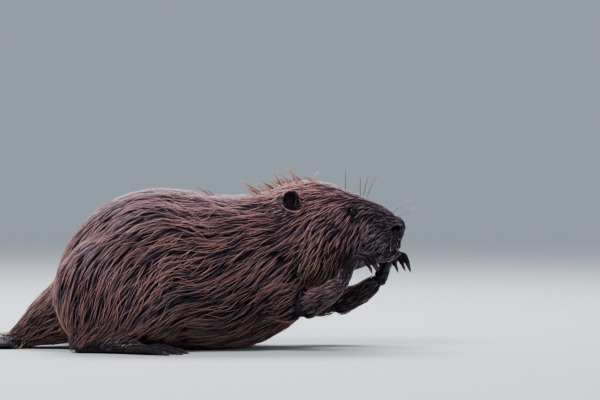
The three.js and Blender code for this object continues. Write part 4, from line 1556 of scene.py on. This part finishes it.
def loose_hairs():
    long_coat = smooth_step(at_faces(lock_length, every_triangle), 16 * MM, 34 * MM)
    ruffle = ruffled(skin.points[triangles[:, 0]])
    roots, faces = scatter(LOOSE_HAIRS, crowd * long_coat * (0.9 + MORE_RUFFLED * ruffle), draw)
    count = len(roots)
    length = at_faces(lock_length, faces) * draw.uniform(*LOOSE_LENGTH, count)
    length *= 1 - LESS_RUFFLED * ruffle[faces]
    swing = draw.normal(0, LOOSE_SWING, count) * (1 + SWING_RUFFLED * ruffle[faces])
    places, normal, way = lines(roots, faces, length, 4, swing)
    rise = np.interp(np.linspace(0, 1, 5), [0, 0.25, 0.6, 1], LOOSE_RISE)
    height = at_faces(depth, faces)[:, None] * rise[None]
    height[:, 0] = -ROOT_DEPTH
    spine = places + normal * height[:, :, None]
    width = draw.uniform(*LOOSE_WIDTH, count) * MM
    tone = coat_tone(roots, normal[:, 0], draw.uniform(*LOOSE_WARMTH, count))
    return roots, faces, spine, np.cross(normal, way), normal, width, width * 0.8, tone


loose = loose_hairs()
print("loose hairs:", len(loose[0]))

# %% [markdown]
# Eyes and ears stay free. Short hair grows around both, and some of it would cross the
# opening of an eye or the cup of an ear. Leaving out every root near them would make a bald
# ring. So a strand that would cross ends in front of the opening, and only one that starts
# there is left out.

# %% Keep eyes and ears free
EYE_OPENING = (LID_WIDTH * 1.45, LID_TOP * 1.5)


def over_eye_or_ear(spine, faces):
    """For each point of each strand, whether it lies over an eye or an ear."""
    over = np.zeros(spine.shape[:2], bool)
    from_ear = (triangle_kind[faces] == "ear")[:, None]
    for side, sign in SIDES.items():
        centre, _, forward, up = eye_axes(side)
        gap = spine - centre
        a, b = gap @ forward / EYE_OPENING[0], gap @ up / EYE_OPENING[1]
        over |= (np.hypot(a, b) < 1) & (np.abs(gap) < 25 * MM).all(2)
        share = share_of_ear(spine, side)
        cup = (np.hypot(share[:, :, 0], share[:, :, 2]) < 0.97) & (spine[:, :, 1] * sign > 0)
        cup &= share[:, :, 1] * sign > -1
        cup &= share[:, :, 0] < 0.40 + 0.25 * wander(spine[:, 0], 0.008, 61)[:, None]
        over |= cup & ~from_ear
    return over


def cut_short(layer):
    """Ends each strand before its first point over an eye or ear, and drops the stubs."""
    over = over_eye_or_ear(layer[2], layer[1])
    last = over.shape[1] - 1
    first = np.where(over.any(1), over.argmax(1), last + 1)
    kept = first > 1
    end = np.minimum(first[kept] - 0.45, last)
    at = np.linspace(0, 1, last + 1)[None] * end[:, None]
    whole = np.minimum(at.astype(int), last - 1)
    part = (at - whole)[:, :, None]
    rows = np.arange(kept.sum())[:, None]
    result = [values[kept] for values in layer]
    for k in (2, 3, 4):  # spine, side and up of each strand
        result[k] = result[k][rows, whole] * (1 - part) + result[k][rows, whole + 1] * part
    return result


layers = {"ground_coat": ground, "guard_coat": guard, "loose_coat": loose}
for name, layer in layers.items():
    layers[name] = cut_short(layer)
    print(name, "lost", len(layer[0]) - len(layers[name][0]), "strands over eyes and ears")

# %% [markdown]
# The coat in pieces. As one mesh it would be too heavy to open or edit. It is split by layer
# and by area, each small enough on its own: head, neck, back, flanks, haunches, arms, belly
# and tail root. Hair on the ears is darkened here, as it is on the animal, and the coat round
# them is painted darker as shade.

# %% Build the coat by area
MOST_TRIANGLES = 190000
LOWEST = 0.6 * MM  # no strand dips below this height over the floor
BACK_FACING, BELLY_FACING = 0.62, -0.55
EAR_SHADE, EAR_SHADE_REACH = 0.5, 25 * MM
JOINED_AREAS = {
    "lower_jaw": "head",
    "upper_arm": "arm",
    "forearm": "arm",
    "forepaw": "arm",
    "hind_foot": "haunch",
}


def area_names(roots, faces, surface_normals):
    names = triangle_kind[faces].astype("U24")
    side = np.where(roots[:, 1] < 0, "_right", "_left")
    for whole, part in JOINED_AREAS.items():
        names[names == whole] = part
    trunk = names == "trunk"
    names[trunk] = np.where(surface_normals[trunk, 2] > BACK_FACING, "back", "flank")
    names[trunk & (surface_normals[:, 2] < BELLY_FACING)] = "belly"
    sided = ~np.isin(names, ["back", "belly", "tail_root"])
    return np.where(sided, np.char.add(names, side), names)


def darken_ears(roots, faces, colours):
    on_ear = triangle_kind[faces] == "ear"
    colours[on_ear] *= 0.14 + 0.7 * at_faces(ear_front, faces[on_ear])[:, None]
    # Painted shade: the coat round each ear is darker, most near the ear.
    for side in SIDES:
        from_ear = np.linalg.norm(roots - np.array(middle("ear_" + side)), axis=1)
        colours *= 1 - EAR_SHADE * hill(from_ear, EAR_SHADE_REACH)[:, None]


def build_coat(layer_name, finish_of_layer):
    roots, faces, spine, side, up, width, thickness, colours = layers[layer_name]
    darken_ears(roots, faces, colours)
    spine[:, :, 2] = np.maximum(spine[:, :, 2], LOWEST)
    names = area_names(roots, faces, up[:, 0])
    each = len(spindle_faces(spine.shape[1] - 2))
    for area in sorted(set(names)):
        slot, finish = "coat", finish_of_layer
        if area.startswith("ear"):
            slot, finish = "ear_fur", ear_velvet
        chosen = np.flatnonzero(names == area)
        parts = max(1, math.ceil(len(chosen) * each / MOST_TRIANGLES))
        for number, part in enumerate(np.array_split(chosen, parts)):
            suffix = "_" + str(number + 1) if parts > 1 else ""
            form = (values[part] for values in (spine, side, up, width, thickness, colours))
            mesh = spindles(layer_name, *form, places_on_map(roots[part]))
            add_piece(layer_name + "_" + area + suffix, mesh, finish)
    print(layer_name, "has", len(roots) * each, "triangles")


build_coat("ground_coat", under_fur)
build_coat("guard_coat", fur)
build_coat("loose_coat", fur)

# %% [markdown]
# Standing tufts. On the nape and the crown the wet guard hair gathers into thin, straight,
# rusty spikes that break the outline and lean back. Locks of the coat can't do this, as
# they follow the skin. So these hairs are grown apart: each leaves the skin in one direction
# and bends over to another. A large spike has a smaller one near it, and a spike is a bundle
# of three hairs that meet at the tip. Short single hairs stand between them.

# %% Hairs that leave the skin
TUFT_STEPS = np.linspace(0, 1, 6)
TUFT_ROOT = 0.8 * MM
HIGHEST = cad_box[1][2] + 6 * MM


def free_hairs(roots, starts, ends, lengths, width):
    """Spines that leave the skin along one direction and bend over to another."""
    share = TUFT_STEPS[None, :, None]
    bend = starts[:, None] * (share - share**2 / 2) + ends[:, None] * share**2 / 2
    spine = roots[:, None] + bend * lengths[:, None, None] - starts[:, None] * TUFT_ROOT * (share == 0)
    side = np.cross(starts, [0.0, 1.0, 0.0])
    side = unit(np.cross(starts, unit(side)))
    side = np.repeat(side[:, None], len(TUFT_STEPS), 1)
    up = np.cross(side, unit(ends)[:, None])
    spine[:, :, 2] = np.minimum(spine[:, :, 2], HIGHEST)
    return spine, side, up, np.full(len(roots), width)


print("free hairs end below", round(HIGHEST / MM), "mm")

# %% Spikes on nape and crown
# where each spike leaves the coat behind the eye, how far it runs back, how high it rises: mm
SPIKES = [
    (210, 34, 20), (206, 20, 16), (143, 30, 24), (146, 22, 14), (140, 24, 16), (132, 17, 14), (128, 20, 11),
    (122, 20, 12), (124, 11, 14), (116, 15, 9), (111, 13, 8), (107, 17, 26), (103, 9, 12), (97, 13, 8),
    (94, 23, 16), (86, 10, 25), (84, 4, 14), (78, 26, 18), (60, 18, 10), (57, -7, 14), (48, 12, 6),
]
SPIKE_COVER = 7.0  # mm of coat that a spike stands in
SPIKE_SPREAD = 13  # mm to either side of the middle
SPIKE_HAIR = 1.7 * MM


def small_spikes():
    """A smaller spike near each large one."""
    spikes = []
    for x, run, rise in SPIKES:
        size = draw.uniform(0.35, 0.8)
        spikes.append((x + 6 * draw.random(), run * size, rise * size))
    return spikes


def spike_hairs():
    parts = []
    for x, run, rise in SPIKES + small_spikes():
        y = draw.uniform(-SPIKE_SPREAD, SPIKE_SPREAD)
        reach = np.array([-run, draw.normal(0, 1.5), rise]) * (1 + SPIKE_COVER / rise) * MM
        start_x = eye[0] - (x - run * SPIKE_COVER / rise) * MM
        start = Vector((start_x, y * MM, HIGHEST + 0.05))
        root = np.array(skin_tree.ray_cast(start, Vector((0, 0, -1)))[0])
        for offset in (-1, 0, 1):
            origin = root + np.array([draw.normal(0, 0.9), offset * 1.1, -0.5]) * MM
            way = root + reach * draw.uniform(0.88, 1.0) - origin
            parts.append((origin, way))
    origins, ways = (np.array(values) for values in zip(*parts))
    lengths = np.linalg.norm(ways, axis=1)
    starts = unit(ways + np.array([0.04, 0, 0.12]) * lengths[:, None])
    ends = unit(ways) * 2 - starts
    return origins, *free_hairs(origins, starts, ends, lengths, SPIKE_HAIR)


spikes = spike_hairs()
print("spikes of", len(spikes[0]), "hairs")

# %% Short hairs between them, and the piece
SHORT_HAIRS = 260
SHORT_LENGTH = (12, 26)  # mm
SHORT_WIDTH = 0.65 * MM
STRIP = 42 * MM  # half the width of the strip where they stand
RUST_HAIR, PALE_HAIR = np.array([0.50, 0.22, 0.11]), np.array([0.52, 0.32, 0.25])


def short_hairs():
    x, y, _ = skin.points.T
    on_top = (skin_normals[:, 2] > 0.7) & (kind_at != "ear") & (np.abs(y) < STRIP)
    span = smooth_step(x, HAIR_START - 40 * MM, HAIR_START + 35 * MM)
    span *= 1 - smooth_step(x, eye[0] - 75 * MM, eye[0] - 30 * MM)
    roots, faces = scatter(SHORT_HAIRS, at_faces(on_top * span, every_triangle), draw)
    normal = smooth_normal(faces)
    way = lie_of_coat(roots, faces, normal)
    sideways = np.cross(normal, way) * draw.normal(0, 0.18, SHORT_HAIRS)[:, None]
    lean = draw.uniform(0.9, 1.9, SHORT_HAIRS)[:, None]
    starts = unit(normal + way * lean * 0.6 + sideways)
    ends = unit(normal * 0.8 + way * lean * 1.3 + sideways)
    lengths = draw.uniform(*SHORT_LENGTH, SHORT_HAIRS) * MM
    return roots, *free_hairs(roots, starts, ends, lengths, SHORT_WIDTH)


def nape_tufts():
    both = zip(spikes, short_hairs())
    roots, spine, side, up, width = (np.concatenate(values) for values in both)
    tone = mixed(RUST_HAIR, PALE_HAIR, draw.random(len(roots)))
    return spindles("nape_tufts", spine, side, up, width, width * 0.7, tone, places_on_map(roots))


tufts_mesh = nape_tufts()
add_piece("nape_tufts", tufts_mesh, fur)
print("tufts reach up to", round(float(coordinates(tufts_mesh)[:, 2].max()) / MM), "mm")

# %% [markdown]
# Whiskers. Stiff bristles stand over the brow, rise from the nose and fan out from the
# upper lip. They are stiffer and straighter than fur, round and tapered, brown over the brow
# and darker on nose and lip. On brow and nose each has its own place and direction, so they
# are listed. On the lip they stand in rows, so a loop places them. They are the same free
# hairs as the tufts.

# %% Roots of the whiskers
# root: x and z in mm from the eye; direction at the root: forward, out, up; bends forward and
# up; length in mm
BROW_WHISKERS = [
    (-9, 31, 0.06, 0.1, 1.0, -0.12, 0.0, 40),
    (15, 24, -0.04, 0.15, 1.0, 0.08, 0.0, 44),
    (19, 23, 0.08, 0.2, 1.0, 0.38, 0.1, 47),
    (24, 22, 0.28, 0.2, 1.0, 0.42, 0.1, 54),
]
NOSE_WHISKERS = [
    (62, -5, 0.6, 0.3, 1.0, 0.0, -0.8, 52),
    (66, -8, 1.0, 0.4, 0.65, 0.0, -0.3, 48),
    (69, -11, 1.0, 0.4, 0.2, 0.0, 0.0, 20),
]
LIP_ROWS, LIP_COLUMNS = 3, 4
BESIDE_FACE = 0.2  # m from the middle, where the search for a root starts


def lip_whiskers():
    """Rows on the lip. The further back a whisker is, the longer it is and the more it lies back."""
    rows = []
    for r in range(LIP_ROWS):
        for c in range(LIP_COLUMNS):
            back = LIP_COLUMNS - c
            root = (50 + 5 * c - r, -39 - 6 * r + c)
            rows.append((*root, 0.4 - 0.25 * back, 1.1, -0.15 * r, 0, -0.45, 34 + 5 * back))
    return rows


def whisker_roots(side):
    """Root places, directions, bends and lengths for one side of the face."""
    values = np.array(BROW_WHISKERS + NOSE_WHISKERS + lip_whiskers(), float)
    outward = SIDES[side]
    roots = []
    for forward, above in values[:, :2] * MM:
        start = Vector((eye[0] + forward, outward * BESIDE_FACE, eye[2] + above))
        place = skin_tree.ray_cast(start, Vector((0, -outward, 0)))[0]
        if place is None:
            place = skin_tree.find_nearest(Vector((start.x, 0.02 * outward, start.z)))[0]
        roots.append(place[:])
    ways = unit(values[:, 2:5] * [1, outward, 1])
    bends = np.stack([values[:, 5], np.zeros(len(values)), values[:, 6]], 1)
    return np.array(roots), ways, bends, values[:, 7] * MM


print("whiskers on each side:", len(whisker_roots("right")[0]))

# %% Whiskers
WHISKER_WIDTH = 0.7 * MM
BROW_TONE = np.array([0.200, 0.118, 0.082])
NOSE_TONE = np.array([0.085, 0.050, 0.038])
LIP_TONE = np.array([0.018, 0.012, 0.013])


def whiskers():
    parts = []
    for side in SIDES:
        roots, ways, bends, lengths = whisker_roots(side)
        lengths = lengths * draw.uniform(0.9, 1.1, len(roots))
        hairs = free_hairs(roots, ways, unit(ways + bends), lengths, WHISKER_WIDTH)
        tone = np.tile(LIP_TONE, (len(roots), 1))
        tone[: len(BROW_WHISKERS + NOSE_WHISKERS)] = NOSE_TONE
        tone[: len(BROW_WHISKERS)] = BROW_TONE
        parts.append((roots, *hairs, tone))
    roots, spine, side, up, width, tone = (np.concatenate(values) for values in zip(*parts))
    return spindles("whiskers", spine, side, up, width, width * 0.9, tone, places_on_map(roots))


whiskers_mesh = whiskers()
add_piece("whiskers", whiskers_mesh, fur)
reach = float(coordinates(whiskers_mesh)[:, 0].max() - nose_high.x)
print("whiskers reach", round(reach / MM), "mm in front of the nose")

# %% [markdown]
# Claws. Each is a curved horn cone, round above and pointed, that leaves the digit and
# hooks down. The solids have them with flat sides. Rounding those off would shrink the
# points, so each claw is built anew along a curve that is found from its solid: where it
# starts, where it bends and where it ends.

# %% The line of a claw
def claw_line(node, paw):
    """Where a claw starts, bends and ends, and its radius at the start."""
    points = coordinates(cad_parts[node].data)
    reach = np.linalg.norm(points - np.array(middle(paw)), axis=1)
    tip = points[reach.argmax()]
    span = np.linalg.norm(points - tip, axis=1)
    base = points[span > span.max() * 0.8].mean(0)
    axis = (tip - base) / np.linalg.norm(tip - base)
    share = (points - base) @ axis / np.linalg.norm(tip - base)
    waist = points[(share > 0.3) & (share < 0.75)]
    bend = waist.mean(0) if len(waist) else (tip + base) / 2
    radius = np.linalg.norm(np.cross(points[share < 0.25] - base, axis), axis=1).max()
    return base, bend, tip, axis, radius


trial_radius = claw_line("fore_claw_right_1", "forepaw_right")[4]
print("a fore claw is", round(2 * float(trial_radius) / MM, 1), "mm thick at its root")

# %% Claws
CLAW_COLUMNS, CLAW_ROWS = 12, 10
CLAWS_ON_A_PAW = 5
CLAW_ROOT = 0.12  # how far it starts inside the digit, as a share of its length
CLAW_FLATNESS, CLAW_BELLY = 0.82, 0.12  # narrower than high, and a little hollow below
CLAW_TONE = np.array([0.034, 0.025, 0.021])
CLAW_HEIGHT = 0.1 * MM  # the least height over the floor


def claw_mesh(node, paw):
    base, bend, tip, axis, radius = claw_line(node, paw)
    control = 2 * bend - (tip + base) / 2
    t = np.linspace(-CLAW_ROOT, 1, CLAW_ROWS)[:, None]
    curve = base * (1 - t) ** 2 + control * 2 * t * (1 - t) + tip * t**2
    size = radius * np.clip(1 - 0.25 * t - 0.73 * np.clip(t, 0, 1) ** 2.6, 0.02, 1)
    side = np.cross(axis, [0, 0, 1.0])
    side = side / np.linalg.norm(side)
    up = np.cross(side, axis)
    turn = np.arange(CLAW_COLUMNS) * 2 * math.pi / CLAW_COLUMNS
    flat = CLAW_FLATNESS * np.outer(np.cos(turn), side)
    flat = flat + np.outer(np.sin(turn) - CLAW_BELLY * np.cos(2 * turn), up)
    rings = curve[:, None] + size[:, :, None] * flat[None]
    ends = np.array([curve[0], curve[-1] + axis * 0.2 * MM])
    faces = grid_faces(CLAW_ROWS, CLAW_COLUMNS)
    last = CLAW_ROWS * CLAW_COLUMNS
    for k in range(CLAW_COLUMNS):
        after = (k + 1) % CLAW_COLUMNS
        faces.append((last, after, k))
        faces.append((last + 1, last - CLAW_COLUMNS + k, last - CLAW_COLUMNS + after))
    points = np.concatenate([rings.reshape(-1, 3), ends])
    points[:, 2] = np.maximum(points[:, 2], CLAW_HEIGHT)
    along = np.repeat(np.linspace(0.7, 1.9, CLAW_ROWS), CLAW_COLUMNS)
    tone = CLAW_TONE * np.concatenate([along, [0.7, 2.0]])[:, None]
    return mesh_from("claw", points, np.array(faces), np.zeros((len(points), 2)), tone)


horn = grained_finish("claw_horn", 1400, 2, (0.8, 1.2), Roughness=0.38, Specular_IOR_Level=0.35)
claws = []
for side in SIDES:
    for paw, prefix in [("forepaw_", "fore_claw_"), ("hind_foot_", "hind_claw_")]:
        for number in range(1, CLAWS_ON_A_PAW + 1):
            node = prefix + side + "_" + str(number)
            claws.append(add_piece("horn_" + node, claw_mesh(node, paw + side), horn, [node]))
print("claws:", len(claws))

# %% [markdown]
# The tail. It is bare but for scattered stubble: a leathery paddle covered in small
# six-sided scales in offset rows, each tipped up a little at its hind edge. A bump would
# look flat at the edge of the paddle, where the scales break the outline. So they are laid
# on the skin from above and from below as low closed plates, all in one mesh.

# %% Where the scales lie
SCALE = 5.0 * MM


def scale_places():
    low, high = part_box("tail")
    places, faces = [], []
    for r, x in enumerate(np.arange(low.x, high.x, SCALE * 0.87)):
        for y in np.arange(low.y, high.y + SCALE, SCALE) + (r % 2) * SCALE / 2:
            for start, way in ((0.2, -1), (-0.05, 1)):
                hit = skin_tree.ray_cast(Vector((x, y, start)), Vector((0, 0, way)))
                if hit[0] is not None and triangle_kind[hit[2]] == "tail" and abs(hit[1].z) > 0.25:
                    places.append(hit[0][:])
                    faces.append(hit[2])
    return np.array(places), np.array(faces)


scale_roots, scale_faces = scale_places()
print("the tail has", len(scale_roots), "scales")

# %% Tail scales
SCALE_SIDES = 6
# a scale's points: 0 to 5 at its foot, 6 to 11 round its rim, and 12 at its crown
RIM_FACES = [(k, (k + 1) % 6, 6 + (k + 1) % 6) for k in range(6)]
RIM_FACES += [(k, 6 + (k + 1) % 6, 6 + k) for k in range(6)]
TOP_FACES = [(6 + k, 6 + (k + 1) % 6, 12) for k in range(6)]
BOTTOM_FACES = [(0, k + 1, k) for k in range(1, 5)]
# for the foot, the rim and the crown of a scale: its size, its height in mm, how far it tips
SCALE_RINGS = ((0.52, -0.6, 0), (0.43, 0.45, 0.3), (0, 0.75, 0))
SCALE_TONE = np.array([0.040, 0.037, 0.037])
SCALE_SHADES = [0.45] * SCALE_SIDES + [1.0] * SCALE_SIDES + [1.15]  # dark between the scales


def tail_scales(places, faces):
    count = len(places)
    normal = smooth_normal(faces)
    back = flattened(np.tile([-1.0, 0, 0], (count, 1)), normal)
    side = np.cross(normal, back)
    turn = np.arange(SCALE_SIDES) * math.pi / 3 + math.pi / 6
    forms = []
    for size, height, tip in SCALE_RINGS:
        a, b = np.sin(turn) * size * SCALE * 1.04, np.cos(turn) * size * SCALE
        flat = back[:, None] * a[None, :, None] + side[:, None] * b[None, :, None]
        lift = (height + tip * np.sin(turn)) * MM
        forms.append(places[:, None] + flat + normal[:, None] * lift[None, :, None])
    points = np.concatenate([forms[0], forms[1], forms[2][:, :1]], 1)
    points[:, :, 2] = np.maximum(points[:, :, 2], 0.1 * MM)
    around = np.concatenate([np.stack([np.sin(turn), np.cos(turn)], 1)] * 2 + [np.zeros((1, 2))]) / 2
    uv = places_on_map(places)[:, None] + around[None] * PATCH
    own_shade = 1 + 0.2 * wander(places, 0.02, 5) + draw.normal(0, 0.10, count)
    shade = own_shade[:, None] * np.array(SCALE_SHADES)[None]
    tone = SCALE_TONE[None, None] * shade[:, :, None]
    index = many_of(count, RIM_FACES + TOP_FACES + BOTTOM_FACES, len(SCALE_SHADES))
    return mesh_from("tail_scales", points.reshape(-1, 3), index, uv.reshape(-1, 2), tone.reshape(-1, 3))


leather = grained_finish("tail_leather", 700, 3, (0.7, 1.3), (0.3 * MM, 0.5), Roughness=0.36)
scales_mesh = tail_scales(scale_roots, scale_faces)
add_piece("tail_scale_plates", scales_mesh, leather)
print("tail scales have", len(scales_mesh.polygons), "triangles")
